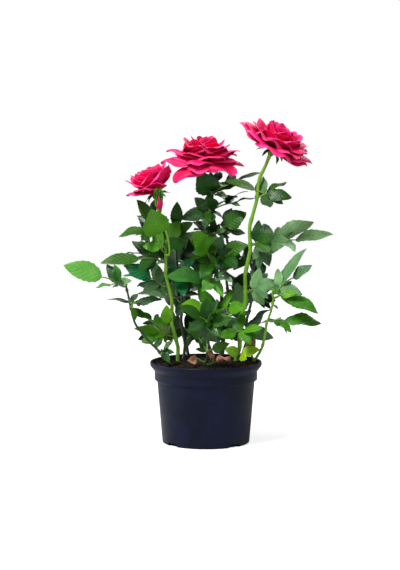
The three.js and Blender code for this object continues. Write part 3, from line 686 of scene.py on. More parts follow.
def compost_finish(name, dark, light, scale):
    made, nodes, shader = material(name, 0.92, Specular_IOR_Level=0.25)
    clumps = nodes.noise(scale, 6.0, 0.7)
    nodes.put(shader["Base Color"], nodes.mix(nodes.spread(clumps, 0.35, 0.75), rgb(dark), rgb(light)))
    bump(nodes, shader, clumps, 0.8)
    return made


LEAF_FINISHES = {tint: leaf_finishes(tint) for tint in TINTS}
# Body, rim and foot colours of each side. The rim colours are painted highlights on the rolled edges, and the
# outside colours are darkened to paint the shade under the blooms.
PETAL_MATERIALS = [
    petal_finish("petal_inside", "#e8065c", "#ff4a9c", "#a80020", 0.7),
    petal_finish("petal_outside", "#a20250", "#dc3080", "#6c0228", 0.5),
]
GREEN_BARK = cane_finish("bark_green", "#8cc220", "#6aa018", "#8a6a34", 0.4)
DARK_BARK = cane_finish("bark_dark", "#3d5a20", "#27401a", "#4c3520", 0.6)
TWIG_BARK = cane_finish("bark_twig", "#6b8f34", "#4a6f24", "#7a4a34", 0.5)
POT_PLASTIC = pot_finish()
COMPOST = compost_finish("compost", "#060504", "#1c1712", 260.0)
CRUMBS = compost_finish("compost_crumbs", "#100c09", "#3a2c22", 300.0)
FLECKS = compost_finish("pale_flecks", "#9a8c78", "#d8cdb8", 400.0)

# Grains on the compost: finish, grains to the square metre, smallest and largest in metres, and seed.
GRAINS = (
    ("compost_crumbs", CRUMBS, 260000.0, 0.0005, 0.0022, 5),
    ("pale_flecks", FLECKS, 26000.0, 0.0003, 0.0009, 11),
)
GRAIN_FLATNESS = 0.7


# Geometry Nodes


def geometry_tree(name, **inputs):
    """A tree with a mesh going in and out."""
    mesh = {"Geometry": "NodeSocketGeometry"}
    return new_tree(name, "GeometryNodeTree", {**mesh, **inputs, "Finish": "NodeSocketMaterial"}, mesh)


def dress(nodes, given, result, geometry):
    """Ends a tree: plain meshes in the finish it is given."""
    real = nodes.out("GeometryNodeRealizeInstances", Geometry=geometry)
    dressed = nodes.out("GeometryNodeSetMaterial", Geometry=real, Material=given["Finish"])
    nodes.put(result["Geometry"], dressed)


def drawn(nodes, seed, low, high):
    """A seeded draw for each point, of a number or of a vector."""
    first, kind, out = (0, "FLOAT_VECTOR", 0) if isinstance(low, tuple) else (2, "FLOAT", 1)
    node = nodes.add("FunctionNodeRandomValue", {"data_type": kind}, Seed=seed)
    nodes.put(node.inputs[first], low)
    nodes.put(node.inputs[first + 1], high)
    return node.outputs[out]


def grown(name, source, tree, **values):
    """The mesh that a tree makes of a source mesh, with its named inputs set first."""
    holder = stand(name, source)
    modifier = holder.modifiers.new(name, "NODES")
    modifier.node_group = tree
    for item in tree.interface.items_tree:
        key = item.name.replace(" ", "_")
        if item.in_out == "INPUT" and key in values:
            modifier[item.identifier] = values[key]
    holder.update_tag()
    mesh = modified(holder)
    bpy.data.objects.remove(holder)
    return mesh


def bark_tree():
    """Canes from their centre lines: round, tapering, swollen at each joint and lightly ridged."""
    tree, nodes, given, result = geometry_tree(
        "cane_bark", Sides=14, Joint_Spacing=0.026, Swell=0.0005, Ridges=0.00025)
    line = nodes.out("GeometryNodeMeshToCurve", Mesh=given["Geometry"])
    girth = nodes.out("GeometryNodeInputNamedAttribute", Name="girth")
    length = nodes.add("GeometryNodeSplineParameter").outputs["Length"]
    kept = nodes.out("GeometryNodeStoreNamedAttribute", {"data_type": "FLOAT", "domain": "POINT"},
                     Geometry=line, Name="run", Value=length)
    ring = nodes.out("GeometryNodeCurvePrimitiveCircle", Resolution=given["Sides"], Radius=1.0)
    skin = nodes.out("GeometryNodeCurveToMesh", Curve=kept, Profile_Curve=ring, Scale=girth, Fill_Caps=True)
    run = nodes.out("GeometryNodeInputNamedAttribute", Name="run")
    phase = nodes.math("FRACT", nodes.math("DIVIDE", run, given["Joint Spacing"]))
    aside = nodes.math("ABSOLUTE", nodes.math("SUBTRACT", phase, 0.5))
    near = nodes.math("MAXIMUM", nodes.rest(nodes.math("MULTIPLY", aside, 9.0)), 0.0)
    swell = nodes.math("MULTIPLY", nodes.math("POWER", near, 1.5), given["Swell"])
    ridges = nodes.noise(160.0, 3.0, 0.5, vector=nodes.out("GeometryNodeInputPosition"))
    relief = nodes.math("ADD", swell, nodes.math("MULTIPLY", nodes.math("SUBTRACT", ridges, 0.5),
                                                 given["Ridges"]))
    shift = nodes.out("ShaderNodeVectorMath", {"operation": "SCALE"},
                      nodes.out("GeometryNodeInputNormal"), Scale=relief)
    dress(nodes, given, result, nodes.out("GeometryNodeSetPosition", Geometry=skin, Offset=shift))
    return tree


def prickle_tree():
    """Short prickles that stand out of the canes, a seeded way round at each."""
    tree, nodes, given, result = geometry_tree("cane_prickles", Spacing=0.014, Height=0.003, Seed=3)
    line = nodes.out("GeometryNodeMeshToCurve", Mesh=given["Geometry"])
    steps = nodes.out("GeometryNodeResampleCurve", {"mode": "LENGTH"}, Curve=line, Length=given["Spacing"])
    tangent = nodes.out("GeometryNodeInputTangent")
    way = drawn(nodes, given["Seed"], (-1, -1, -1), (1, 1, 1))
    out = nodes.out("ShaderNodeVectorMath", {"operation": "CROSS_PRODUCT"}, way, tangent)
    turned = nodes.out("FunctionNodeAlignRotationToVector", {"axis": "Z"}, Vector=out)
    spike = nodes.out("GeometryNodeMeshCone", Vertices=5, Side_Segments=2, Radius_Top=0.0,
                      Radius_Bottom=nodes.math("MULTIPLY", given["Height"], 0.28), Depth=given["Height"])
    dress(nodes, given, result, nodes.out(
        "GeometryNodeInstanceOnPoints", Points=steps, Instance=spike, Rotation=turned,
        Scale=drawn(nodes, given["Seed"], 0.6, 1.0)))
    return tree


def scatter_tree():
    """Rough grains strewn over a surface."""
    tree, nodes, given, result = geometry_tree(
        "strewn_grains", Density=60000.0, Smallest=0.0006, Largest=0.002, Flatness=0.6, Seed=1)
    spots = nodes.out("GeometryNodeDistributePointsOnFaces", Mesh=given["Geometry"], Density=given["Density"],
                      Seed=given["Seed"])
    grain = nodes.out("GeometryNodeMeshIcoSphere", Radius=1.0, Subdivisions=1)
    turn = drawn(nodes, given["Seed"], (0, 0, 0), (math.tau, math.tau, math.tau))
    size = drawn(nodes, given["Seed"], given["Smallest"], given["Largest"])
    shape = nodes.out("ShaderNodeCombineXYZ", X=size, Y=nodes.math("MULTIPLY", size, 0.75),
                      Z=nodes.math("MULTIPLY", size, given["Flatness"]))
    dress(nodes, given, result, nodes.out(
        "GeometryNodeInstanceOnPoints", Points=spots, Instance=grain, Rotation=turn, Scale=shape))
    return tree


# Pot and compost


def shell_faces(rings, segments, upside_down=False):
    """The faces of a closed shell: rings of points between a first and a last point."""
    last = 1 + (rings - 1) * segments
    faces = []
    for j in range(segments):
        after = (j + 1) % segments
        faces.append((0, 1 + after, 1 + j))
        for a in range(1, last, segments):
            faces.append((a + j, a + after, a + segments + after, a + segments + j))
        faces.append((last + j, last + after, last + segments))
    return [(face[0], *reversed(face[1:])) for face in faces] if upside_down else faces


def spun(profile, segments):
    """A closed shell spun from a profile that starts and ends on the axis."""
    points = [(0, 0, profile[0][1])]
    for radius, height in profile[1:-1]:
        for j in range(segments):
            angle = math.tau * j / segments
            points.append((radius * math.cos(angle), radius * math.sin(angle), height))
    points.append((0, 0, profile[-1][1]))
    return points, shell_faces(len(profile) - 2, segments)


def round_corner(before, corner, after, radius):
    """The points of a corner of the profile, rounded."""
    corner = Vector(corner)
    start = corner + (Vector(before) - corner).normalized() * radius
    end = corner + (Vector(after) - corner).normalized() * radius
    return [point[:] for point in curve(start, corner, end, CORNER_STEPS)]


def pot_profile():
    wall, edge = POT.wall, POT.edge
    step_radius, step_height = POT.step
    band_radius, band_top = POT.band
    corners = [
        (0, 0), (POT.base, 0), (step_radius, step_height), (band_radius, step_height + edge),
        (band_radius, band_top), (POT.lip, POT.lip_bottom), (POT.lip, POT.height),
        (POT.lip - edge - wall, POT.height), (band_radius - wall, band_top),
        (band_radius - wall, step_height + 2 * wall), (step_radius - wall, step_height),
        (POT.base - wall, wall), (0, wall),
    ]
    profile = [corners[0]]
    for before, corner, after, radius in zip(corners, corners[1:], corners[2:], POT.rounding):
        profile.extend(round_corner(before, corner, after, radius))
    return profile + [corners[-1]]


def make_pot():
    batch = Batch()
    batch.add(*spun(pot_profile(), POT.segments))
    shell = batch.piece("pot_shell", [POT_PLASTIC])
    size = Matrix.Diagonal((2 * NOTCH.depth, NOTCH.width, 2 * NOTCH.height, 1))
    cutters = []
    for i in range(NOTCH.count):
        turn = Matrix.Rotation(math.radians(NOTCH.first + 360 * i / NOTCH.count), 4, "Z")
        place = turn @ Matrix.Translation((POT.base * MM, 0, 0)) @ size
        block = edited(bpy.data.meshes.new("notch"),
                       lambda work: bmesh.ops.create_cube(work, size=MM, matrix=place))
        cutters.append(stand("notch", block))
        cut = shell.modifiers.new("notch", "BOOLEAN")
        cut.operation, cut.solver, cut.object = "DIFFERENCE", "EXACT", cutters[-1]
    mesh = modified(shell)
    for spare in (shell, *cutters):
        bpy.data.objects.remove(spare)
    declare(finished("pot_shell", mesh, [POT_PLASTIC], angle=35), "pot_plastic", "pot")


def compost_height(x, y):
    """The mounded top of the compost, with three waves of lumps, each finer than the last."""
    radius = math.hypot(x, y) / SOIL.radius
    lumps = math.sin(0.31 * x + 1.3) * math.sin(0.37 * y + 0.4) + 0.6 * math.sin(0.83 * x - 0.71 * y)
    lumps += 0.5 * math.sin(1.7 * x + 0.9) * math.sin(1.9 * y)
    return SOIL.top + SOIL.mound * (1 - radius * radius) - SOIL.settled + lumps * SOIL.lumps


def make_compost():
    rings, segments = SOIL.rings, SOIL.segments
    points = [(0, 0, compost_height(0, 0))]
    for ring in range(1, rings + 1):
        radius = SOIL.radius * ring / rings
        for j in range(segments):
            angle = math.tau * j / segments
            x, y = radius * math.cos(angle), radius * math.sin(angle)
            points.append((x, y, compost_height(x, y)))
    points += [(x * SOIL.under, y * SOIL.under, height - SOIL.depth) for x, y, height in points[-segments:]]
    points.append((0, 0, SOIL.top - SOIL.depth))
    batch = Batch()
    batch.add(points, shell_faces(rings + 1, segments, True))
    compost = batch.piece("compost", [COMPOST])
    declare(compost, "soil", "soil")
    surface = edited(compost.data.copy(), lambda work: bmesh.ops.delete(
        work, geom=[face for face in work.faces if face.normal.z < SOIL.steep], context="FACES"))
    tree = scatter_tree()
    for name, finish, density, smallest, largest, seed in GRAINS:
        mesh = grown(name, surface.copy(), tree, Density=density, Smallest=smallest, Largest=largest,
                     Flatness=GRAIN_FLATNESS, Seed=seed, Finish=finish)
        declare(finished(name, mesh, [finish], angle=60), "soil")


# Canes


def bowed_point(cane, share):
    late = share ** cane.late
    bow = 4 * late * (1 - late)
    x, y = (between((cane.foot[axis], cane.tip[axis]), share) + cane.bow[axis] * bow for axis in (0, 1))
    return Vector((x, y, between((FOOT_HEIGHT, cane.tip[2]), share)))


def cane_at(cane, height):
    """The centre of a cane at a height, on the straight stretches between its rings."""
    steps = math.ceil((cane.tip[2] - FOOT_HEIGHT) / CANE_STEP)
    place = steps * (height - FOOT_HEIGHT) / (cane.tip[2] - FOOT_HEIGHT)
    ring = min(int(place), steps - 1)
    return bowed_point(cane, ring / steps).lerp(bowed_point(cane, (ring + 1) / steps), place - ring)


def cane_radius(cane, height):
    return between(cane.radius, (height - FOOT_HEIGHT) / (cane.tip[2] - FOOT_HEIGHT))


def cane_tangent(cane, height):
    return (cane_at(cane, height) - cane_at(cane, height - 1)).normalized()


def zigzag(height):
    """A cane turns a little one way and then the other at each of its joints."""
    phase = (height / (2 * JOINT.spacing)) % 1
    return JOINT.kink * (4 * abs(phase - 0.5) - 1)


def cane_line(names):
    """The centre lines of some canes as one mesh of edges, with the girth at each point."""
    points, edges, girths = [], [], []
    for name in names:
        cane = CANES[name]
        count = math.ceil((cane.tip[2] - FOOT_HEIGHT) / CANE_LINE.step)
        first = len(points)
        for i in range(count + 1):
            height = between((FOOT_HEIGHT, cane.tip[2]), i / count)
            ends = min(i / CANE_LINE.straight, (count - i) / CANE_LINE.straight, 1)
            points.append((cane_at(cane, height) + Vector((zigzag(height), 0, 0)) * ends) * MM)
            girths.append(cane_radius(cane, height) * MM)
        edges += [(i, i + 1) for i in range(first, first + count)]
    mesh = bpy.data.meshes.new("cane_line")
    mesh.from_pydata(points, edges, [])
    mesh.attributes.new("girth", "FLOAT", "POINT").data.foreach_set("value", girths)
    return mesh


def make_canes():
    dark = [name for name in CANES if name not in GREEN_CANES]
    bark, prickles = bark_tree(), prickle_tree()
    for piece, names, finish in (("canes_green", GREEN_CANES, GREEN_BARK), ("canes_dark", dark, DARK_BARK)):
        mesh = grown(piece, cane_line(names), bark, Finish=finish, Joint_Spacing=JOINT.spacing * MM,
                     Swell=JOINT.swell * MM)
        declare(finished(piece, mesh, [finish], angle=60), "cane", *(f"cane_{name}" for name in names))
        mesh = grown(f"{piece}_prickles", cane_line(names), prickles, Finish=finish)
        declare(finished(f"{piece}_prickles", mesh, [finish], angle=40), "cane")


# Leaves


def blade_plan(rows, sides, pointed, upper):
    """What all blades of a kind share: how far along and aside their points stand, on which side of the rib
    and of the blade; their places, faces and finishes. A side has its columns, as shares of the width or
    sides of the rib, and its finish. A pointed blade starts and ends in one point."""
    points, index, faces, finishes = [], {}, [], []

    def corner(side, column, row):
        """The number of a corner. Corners at one spot are one point."""
        end = row in (0, rows)
        if pointed and end:
            column = 0.0
        rib = RIB_SIDES.get(column, 0.0)
        skin = 0.0 if end or column in (-1, 1) else side
        if (row, column, skin) not in index:
            index[row, column, skin] = len(points)
            points.append((row / rows, 0.0 if rib else column, rib, skin))
        return index[row, column, skin]

    for side, columns, finish in sides:
        for first, second in zip(columns, columns[1:]):
            for row in range(rows):
                ring = [corner(side, column, row) for column in (first, second)]
                ring += [corner(side, column, row + 1) for column in (second, first)]
                faces.append(tuple(dict.fromkeys(ring if side == upper else reversed(ring))))
                finishes.append(1 if first == "low" else finish)
    places = [(0.5 + 0.5 * column, share) for share, column, _, _ in points]
    share, aside, rib, skin = np.array(points).T
    return Sizes(share=share, aside=aside, rib=rib, skin=skin, places=places, faces=faces, finishes=finishes)


BLADE = blade_plan(
    LEAFLET.rows, ((1, (-1, -0.55, "low", "high", 0.55, 1), 0), (-1, (-1, "low", "high", 1), 2)), True, 1)


def leaf_points(root, along, face, length, ratio, random, crumple=0.0):
    """The points of one leaflet: folded at its rib, arched, drooping at the tip and waved at its edge."""
    share, column = BLADE.share, BLADE.aside
    notch = np.where(np.round(share * LEAFLET.rows) % 2 == 0, 1.0, -1.0) * LEAFLET.tooth
    tooth = np.where(np.abs(column) == 1, notch, 0)
    half = LEAFLET.fullness * share ** LEAFLET.root_power * (1 - share) ** LEAFLET.tip_power
    over = column * half * ratio * length / 2 * (1 + tooth * (1 - share))
    over = over + BLADE.rib * LEAFLET.rib * length * (1 - LEAFLET.rib_taper * share)
    ahead = share * length + tooth * LEAFLET.tooth_lean * length / LEAFLET.rows
    fold = LEAFLET.fold * between(LEAF_SWING.fold, random())
    droop = swing(random, LEAF_SWING.droop) + LEAFLET.droop
    wave = swing(random, LEAF_SWING.wave) * length
    phase = math.tau * random()
    twist = swing(random, LEAF_SWING.twist) * share
    rise = LEAFLET.arch * length * 4 * share * (1 - share) - droop * length * share ** 2
    rise = rise + np.abs(over) * fold * (1 - LEAFLET.flat_edge * np.abs(column))
    rise = rise + wave * column ** 2 * np.sin(math.tau * LEAFLET.waves * share + phase)
    if crumple:
        creases = np.sin(LEAFLET.creases[0] * share + LEAFLET.creases[1] * column + phase)
        rise = rise + crumple * length * (creases * 0.5 + column ** 2)
    rise = rise + BLADE.skin * LEAFLET.thickness / 2
    over, rise = over * np.cos(twist) - rise * np.sin(twist), over * np.sin(twist) + rise * np.cos(twist)
    return np.outer(ahead, along) + np.outer(over, along.cross(face)) + np.outer(rise, face) + np.array(root)


class Crown:
    """What already stands in the crown, so that new leaves can keep clear of it."""

    def __init__(self):
        self.limbs = []
        self.leaves = []

    def tree_of(self, points, faces):
        low, high = np.min(points, axis=0), np.max(points, axis=0)
        return low, high, BVHTree.FromPolygons([tuple(p) for p in points], faces)

    def meets(self, known, entry):
        low, high, tree = entry
        return any(np.all(low < other_high) and np.all(other_low < high) and tree.overlap(other)
                   for other_low, other_high, other in known)

    def add_limb(self, batch):
        self.limbs.append(self.tree_of(np.array(batch.points), batch.faces))

    def place(self, points, always):
        entry = self.tree_of(points, BLADE.faces)
        if self.meets(self.limbs, entry) or (not always and self.meets(self.leaves, entry)):
            return False
        self.leaves.append(entry)
        return True


CROWN = Crown()
LEAVES = {tint: Batch() for tint in TINTS}
DRY_PLACES = []
TWIGS = Batch()


def compound_leaf(fork, joint, leaf, random):
    """One compound leaf from its fork: the points of its stalk, and its leaflets."""
    azimuth, reach, rise, turn, leaflets, length, *unusual = leaf
    ratio = unusual[0] if unusual else LEAFLET.ratio
    tip = joint + direction(azimuth) * reach + UP * rise
    chord = tip - fork
    stalk = max(chord.length - length, TWIG.shortest)
    lift = TWIG.arch * stalk
    base = fork + chord * (stalk / chord.length) + UP * (lift * TWIG.base_lift)
    bend = fork.lerp(base, 0.5) + UP * lift
    last = tip - base
    along = last.normalized()
    blades = [(base, along, face_of(along, turn), last.length, ratio)]
    for pair in range(leaflets // 2):
        share = max(1 - LEAFLET.pairs[pair] * length / stalk, LEAFLET.nearest[pair])
        tangent = curve_tangent(fork, bend, base, share)
        plane = face_of(tangent, turn)
        for hand in (-1, 1):
            root = curve_point(fork, bend, base, share) + tangent.cross(plane) * (-hand * TWIG.aside)
            angle = math.radians((LEAFLET.spread + swing(random, JITTER.angle)) * hand)
            size = length * LEAFLET.shrink[pair] * (1 + swing(random, JITTER.length))
            way = Matrix.Rotation(angle, 3, plane) @ tangent
            blades.append((root, way, face_of(way, turn), size, ratio))
    return curve(fork, bend, base, TWIG.steps) + [base + along * TWIG.sunk], blades


def in_the_way(points):
    """Whether a leaf would stand in front of a dry leaf or of one of the clear canes."""
    low, high = points.min(axis=0), points.max(axis=0)
    middle = (low + high) / 2
    for dry_low, dry_high in DRY_PLACES:
        if middle[1] < dry_low[1] and all(low[i] < dry_high[i] and dry_low[i] < high[i] for i in (0, 2)):
            return True
    for name in CLEAR_CANES:
        cane = CANES[name]
        if FOOT_HEIGHT < middle[2] < cane.tip[2]:
            place = cane_at(cane, middle[2])
            if low[0] < place.x < high[0] and middle[1] < place.y:
                return True
    return False


def grow_leaf(fork, joint, leaf, random, detail, tint, always):
    """Adds one compound leaf to the crown, unless all its leaflets would touch something."""
    points, blades = compound_leaf(fork, joint, leaf, random)
    # Finer leaves take darker tones than outline leaves: painted shade inside the crown.
    tone = between(LEAF_TONES if always else FINER.tones, detail())
    dry = tint == "dry"
    grown_blades = 0
    for root, along, face, length, ratio in blades:
        tilt = math.radians(swing(detail, LEAF_SWING.tilt))
        face = (Matrix.Rotation(tilt, 3, along) @ face).normalized()
        placed = leaf_points(root, along, face, length, ratio, detail, LEAFLET.crumple if dry else 0.0)
        if (always or not in_the_way(placed)) and CROWN.place(placed, always):
            if dry:
                DRY_PLACES.append((placed.min(axis=0), placed.max(axis=0)))
            shade = min(max(tone + swing(detail, LEAF_SWING.tone), 0), 1)
            LEAVES[tint].add_blade(placed, BLADE, shade)
            grown_blades += 1
    if grown_blades:
        radii = [between((TWIG.leaf, TWIG.end), share) for share in shares(len(points) - 1)]
        tube(TWIGS, points, radii, TWIG.sides, tone)


def finer_leaf(leaf, detail, behind, lowest):
    """A smaller leaf of a mass, nearer its cane than the one it comes from."""
    azimuth, reach, rise, turn, _, length = leaf[:6]
    azimuth += swing(detail, FINER.swing)
    if behind:
        azimuth = abs((azimuth + 180) % 360 - 180)
    out = min(reach, FINER.most_reach) * between(FINER.reach, detail())
    rise = max(rise * FINER.sag + between(FINER.drop, detail()), lowest)
    turn += swing(detail, FINER.turn)
    shortest, longest = FINER.short_length
    length = min(max(length * between(FINER.length, detail()), shortest), longest)
    return azimuth, out, rise, turn, FINER.leaflets, length, between(FINER.ratio, detail())


def grow_mass(name, height, tint, leaves, random, detail):
    """A mass: one short stem that forks into compound leaves, and the finer leaves between them."""
    cane = CANES[name]
    joint = cane_at(cane, height)
    middle = sum((direction(leaf[0]) for leaf in leaves), Vector())
    out = middle if middle.length > BALANCED else direction(leaves[0][0])
    way = across(out, cane_tangent(cane, height))
    radius, rise = cane_radius(cane, height), TWIG.fork_rise * TWIG.fork
    start = joint + way * (radius * 0.5)
    fork = joint + way * (radius + GAP + TWIG.fork) + UP * rise
    elbow = start + way * rise
    stem = curve(start, elbow, fork, TWIG.stem_steps)
    tube(TWIGS, stem, [TWIG.stem] * TWIG.stem_steps + [TWIG.leaf], TWIG.sides, TWIG.tone)
    for leaf in leaves:
        grow_leaf(fork, joint, leaf, random, detail, tint, True)
    if tint in FINER.bare:
        return
    for i in range(FINER.count.get(name, FINER.usual)):
        lowest = POT.height + FINER.above_pot - height
        leaf = finer_leaf(leaves[i % len(leaves)], detail, name in GREEN_CANES, lowest)
        # A share of the finer leaves takes the pale sage colour: partly pale undersides, partly a painted
        # sheen.
        shown = "sage" if detail() < FINER.pale else tint
        grow_leaf(fork, joint, leaf, seeded(SEEDS.spread + i + int(height)), detail, shown, False)


def back_leaves(row, i, random):
    leaves = []
    for leaf in (0, 1):
        turn = between(BACK.span, (GOLDEN_ANGLE * (2 * i + leaf + row) / 180) % 1)
        reach, rise = between(BACK.reach, random()), between(BACK.rise, random())
        leaves.append((turn, reach, rise, BACK.turn, BACK.leaflets, between(BACK.length, random())))
    return leaves


def make_foliage():
    nodes = {tint: [] for tint in TINTS}
    dry_first = sorted(enumerate(MASSES), key=lambda numbered: numbered[1][3] != "dry")
    for i, (name, cane, height, tint, leaves) in dry_first:
        grow_mass(cane, height, tint, leaves, seeded(SEEDS.mass + i), seeded(SEEDS.finer + i))
        nodes[tint].append(name)
    for row, name in enumerate(BACK.canes):
        random = seeded(SEEDS.back + row)
        for i in range(BACK.count):
            leaves = back_leaves(row, i, random)
            detail = seeded(SEEDS.back_finer + SEEDS.back_row * row + i)
            grow_mass(name, BACK.first + BACK.step * i, "dark", leaves, random, detail)
            nodes["dark"].append(f"{name}_leaves_{i + 1}")
    for tint, batch in LEAVES.items():
        declare(batch.piece(f"leaves_{tint}", LEAF_FINISHES[tint]), f"leaf_{tint}", *nodes[tint])
    declare(TWIGS.piece("twigs", [TWIG_BARK], angle=60), "cane")


# Blooms


PETAL_COLUMNS = [2 * share - 1 for share in shares(PETAL.columns)]
PETAL_BLADE = blade_plan(PETAL.rows, ((1, PETAL_COLUMNS, 1), (-1, PETAL_COLUMNS, 0)), False, -1)


def petal_points(petal, random):
    """One petal around the bloom's axis: it leans out, curls, rolls back at its rim and ruffles."""
    steps = np.linspace(0, 1, PETAL.samples)
    bend = np.clip((steps - PETAL.rolled_from) / (1 - PETAL.rolled_from), 0, 1) ** PETAL.bend
    angle = np.radians(petal.lean + (petal.curl - petal.lean) * steps ** PETAL.bend + petal.roll * bend)
    stride = petal.length / (PETAL.samples - 1)
    radius = PETAL.core + np.concatenate(([0], np.cumsum(np.sin(angle[:-1]) * stride)))
    height = np.concatenate(([0], np.cumsum(np.cos(angle[:-1]) * stride)))
    share, aside, out_of_middle = PETAL_BLADE.share, PETAL_BLADE.aside, np.abs(PETAL_BLADE.aside)
    along = share * (1 - PETAL.shoulder * out_of_middle ** PETAL.shoulder_power - PETAL.inset)
    along = along + PETAL.cusp * (1 - out_of_middle) ** 2 * share
    end = (1 - (PETAL.end * share) ** PETAL.squareness) ** PETAL.end_power
    half = petal.width / 2 * PETAL.fullness * share ** 0.5 * end
    half = half * (1 - petal.taper * share ** 2) + PETAL.foot * (1 - share)
    out, up = np.interp(along, steps, radius), np.interp(along, steps, height)
    slope = np.interp(along, steps, angle)
    wrap = np.clip(aside * half / np.maximum(out, PETAL.wrap), -PETAL.most_wrap, PETAL.most_wrap)
    ruffle = swing(random, PETAL.ruffle) * petal.length * share ** 3
    ruffle = ruffle * np.sin(math.tau * (PETAL.waves * aside + random()))
    rim = petal.side_roll * half * out_of_middle ** 3 * share
    offset = rim + ruffle + PETAL_BLADE.skin * PETAL.thickness / 2 - petal.hollow * (1 - aside ** 2) * share
    out = out + offset * np.cos(slope)
    up = up - offset * np.sin(slope)
    turn = math.radians(petal.azimuth) + wrap
    return np.stack([out * np.cos(turn), out * np.sin(turn), up], axis=1)


def on_axis(points, base, face):
    """Points about a bloom's axis, set at its base along the way it faces."""
    side = across(Vector((1, 0, 0)), face)
    return np.asarray(points) @ np.array([side, face.cross(side), face]) + np.array(base)


def add_hip(hips, base, face, hip, tall, lift, tone):
    """The rounded hip under a bloom, from its size and its height and rise as shares of that."""
    steps, radius, height, middle = HIP.steps, hip * HIP.radius, hip * tall, hip * lift
    angles = [math.pi * i / steps for i in range(1, steps)]
    profile = [(radius * math.sin(angle), middle - height * math.cos(angle)) for angle in angles]
    points, faces = spun([(0, middle - height), *profile, (0, middle + height)], HIP.segments)
    hips.add(on_axis(points, base, face), faces, tone=tone)


def grow_sepals(batch, bloom, base, face, random):
    """Five narrow leafy sepals round the hip, hanging on an open bloom and upright on a bud."""
    upright = bloom.sepals < 90
    for i in range(SEPAL.count):
        way = direction(360 * i / SEPAL.count + SEPAL.first)
        out = Vector(on_axis([way], (0, 0, 0), face)[0]).normalized()
        spot = way * (SEPAL.root[0] * bloom.hip) + UP * (SEPAL.root[1] * bloom.hip)
        angle = math.radians(bloom.sepals * (1 + swing(random, SEPAL.swing)))
        along = (out * math.sin(angle) + face * math.cos(angle)).normalized()
        points = leaf_points(Vector(on_axis([spot], base, face)[0]), along,
                             across(out if upright else face, along), bloom.sepal_length,
                             SEPAL.bud_ratio if upright else SEPAL.ratio, random, SEPAL.crumple)
        batch.add_blade(points, BLADE, SEPAL.tone)


def make_bloom(name, bloom, hips, stalks, seed):
    random = seeded(seed)
    cane = CANES[bloom.cane]
    along = cane_tangent(cane, cane.tip[2])
    foot = cane_at(cane, cane.tip[2]) + along * GAP
    face = Vector(bloom.face).normalized()
    elbow = foot + along * (bloom.stalk * 0.5)
    base = elbow + face * (bloom.stalk * 0.5)
    stalk = curve(foot - along * STALK.sunk, elbow, base + face * STALK.sunk, STALK.steps)
    radii = [cane.radius[1] * (1 + STALK.swell * i) for i in range(len(stalk))]
    tube(stalks, stalk, radii, STALK.sides, STALK.tone)
    add_hip(hips, base, face, bloom.hip, *HIP.bloom)
    grow_sepals(hips, bloom, base, face, random)
    petals = Batch()
    count = bloom.petals
    for i in range(count + len(bloom.skirt)):
        share = min(i / (count - 1), 1)
        azimuth = GOLDEN_ANGLE * i + swing(random, PETAL_SWING.azimuth)
        length = between(bloom.length, share ** PETAL.growth) * (1 + swing(random, PETAL_SWING.length))
        lean = between(bloom.lean, share ** bloom.opening) + swing(random, PETAL_SWING.lean)
        curl = between(bloom.curl, share) + swing(random, PETAL_SWING.curl)
        if i >= count:
            azimuth, lean, curl, length = bloom.skirt[i - count]
        roll = bloom.roll * between(PETAL.rolls, share) + swing(random, PETAL_SWING.roll)
        petal = Sizes(azimuth=azimuth, length=length, width=length * PETAL.ratio, lean=lean, curl=curl,
                      roll=roll, side_roll=between(PETAL.side_roll, share), hollow=PETAL.hollow,
                      taper=bloom.taper)
        placed = on_axis(petal_points(petal, random) + (0, 0, bloom.hip), base, face)
        # Petals that hang below the heart of the bloom get darker tones: painted shade.
        hanging = max(base.z + bloom.hip - placed[:, 2].mean(), 0) / length
        shade = max(between(PETAL.tones, random()) - PETAL.shaded * hanging, 0)
        petals.add_blade(placed, PETAL_BLADE, shade)
    declare(petals.piece(f"petals_{name}", PETAL_MATERIALS, angle=70), "petal", f"bloom_{name}")


def make_bud(hips, stalks):
    """A half-closed bud on a long stalk that leaves its cane sideways."""
    random = seeded(SEEDS.bud)
    cane = CANES[BUD.cane]
    way = across(direction(BUD.azimuth), cane_tangent(cane, BUD.height))
    joint = cane_at(cane, BUD.height)
    elbow = joint + way * (cane_radius(cane, BUD.height) + GAP + BUD.fork)
    bend = elbow + way * BUD.fork + UP * (2 * BUD.fork)
    base = joint + Vector(BUD.rise)
    stalk = [joint] + curve(elbow, bend, base, BUD.steps)
    tube(stalks, stalk, [BUD.stalk] * len(stalk), BUD.sides, BUD.tone)
    face = Vector(BUD.face).normalized()
    add_hip(hips, base, face, BUD.hip, *HIP.bud)
    grow_sepals(hips, BUD, base, face, random)
    petals = Batch()
    for i in range(BUD.petals):
        petal = Sizes(azimuth=GOLDEN_ANGLE * i, length=2 * BUD.tall + swing(random, 1), width=BUD.petal_width,
                      lean=BUD.lean + i, curl=BUD.curl, roll=BUD.roll, side_roll=BUD.side_roll,
                      hollow=BUD.hollow, taper=BUD.taper)
        points = petal_points(petal, random) + (0, 0, BUD.hip * BUD.sunk)
        petals.add_blade(on_axis(points, base, face), PETAL_BLADE, BUD.tone)
    declare(petals.piece("petals_bud", PETAL_MATERIALS, angle=70), "petal", "bud")


def make_blooms():
    hips, stalks = Batch(), Batch()
    for seed, (name, bloom) in enumerate(BLOOMS.items(), start=SEEDS.bloom):
        make_bloom(name, bloom, hips, stalks, seed)
    make_bud(hips, stalks)
    declare(hips.piece("hips_and_sepals", LEAF_FINISHES["mid"]), "leaf_mid")
    declare(stalks.piece("bloom_stalks", [GREEN_BARK], angle=60), "cane")


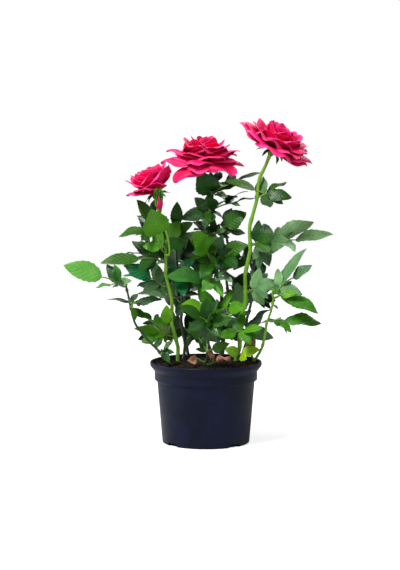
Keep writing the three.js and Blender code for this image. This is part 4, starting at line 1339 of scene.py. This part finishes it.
def stand_limbs():
    """The canes and blooms that leaves keep clear of."""
    for cane in CANES.values():
        batch = Batch()
        heights = [between((FOOT_HEIGHT, cane.tip[2]), share) for share in shares(LIMB_STEPS)]
        tube(batch, [cane_at(cane, h) for h in heights], [cane_radius(cane, h) for h in heights])
        CROWN.add_limb(batch)
    for name in (*BLOOMS, "bud"):
        mesh = bpy.data.objects[f"petals_{name}"].data
        batch = Batch()
        batch.add([v.co / MM for v in mesh.vertices], [tuple(p.vertices) for p in mesh.polygons])
        CROWN.add_limb(batch)


# Stage, light and camera


def make_camera():
    data = bpy.data.cameras.new("camera")
    data.sensor_fit = "HORIZONTAL"
    data.angle = 2 * math.atan(VIEW.width / 2 / VIEW.distance)
    camera = stand("camera", data)
    camera.location = (Vector(VIEW.target) + sight(0, VIEW.elevation) * VIEW.distance) * MM
    camera.rotation_euler = (math.radians(90 - VIEW.elevation), 0, 0)
    bpy.context.scene.camera = camera


def make_light(name, azimuth, elevation, distance, size, power):
    data = bpy.data.lights.new(name, "AREA")
    data.size, data.energy = size, power
    light = stand(name, data)
    back = sight(azimuth, elevation)
    light.location = Vector(LIT) + back * distance
    light.rotation_euler = (-back).to_track_quat("-Z", "Y").to_euler()


def make_stage():
    mesh = edited(bpy.data.meshes.new("floor"), lambda work: bmesh.ops.create_circle(
        work, cap_ends=True, segments=STAGE.segments, radius=STAGE.radius))
    made, nodes, shader = material("floor_paper", 0.9, Specular_IOR_Level=0.1, Base_Color=STAGE.paper,
                                   Emission_Strength=STAGE.glow)
    seen = nodes.out("ShaderNodeLightPath")
    nodes.put(shader["Emission Color"], nodes.mix(seen, rgb("#000000"), rgb("#ffffff")))
    mesh.materials.append(made)
    stand("floor", mesh)
    world = bpy.data.worlds.new("studio")
    world.use_nodes = True
    nodes = Nodes(world.node_tree)
    plain = world.node_tree.nodes["Background"]
    nodes.fill(plain.inputs, {"Color": WHITE, "Strength": STAGE.ambient})
    backdrop = nodes.out("ShaderNodeBackground", Color=WHITE, Strength=1.0)
    seen = nodes.out("ShaderNodeLightPath")
    shown = nodes.out("ShaderNodeMixShader", {}, seen, plain.outputs[0], backdrop)
    nodes.put(world.node_tree.nodes["World Output"].inputs["Surface"], shown)
    bpy.context.scene.world = world
    bpy.context.scene.view_settings.view_transform = "Standard"
    for light in LIGHTS:
        make_light(*light)


make_camera()
make_stage()
make_pot()
make_compost()
make_canes()
make_blooms()
stand_limbs()
make_foliage()
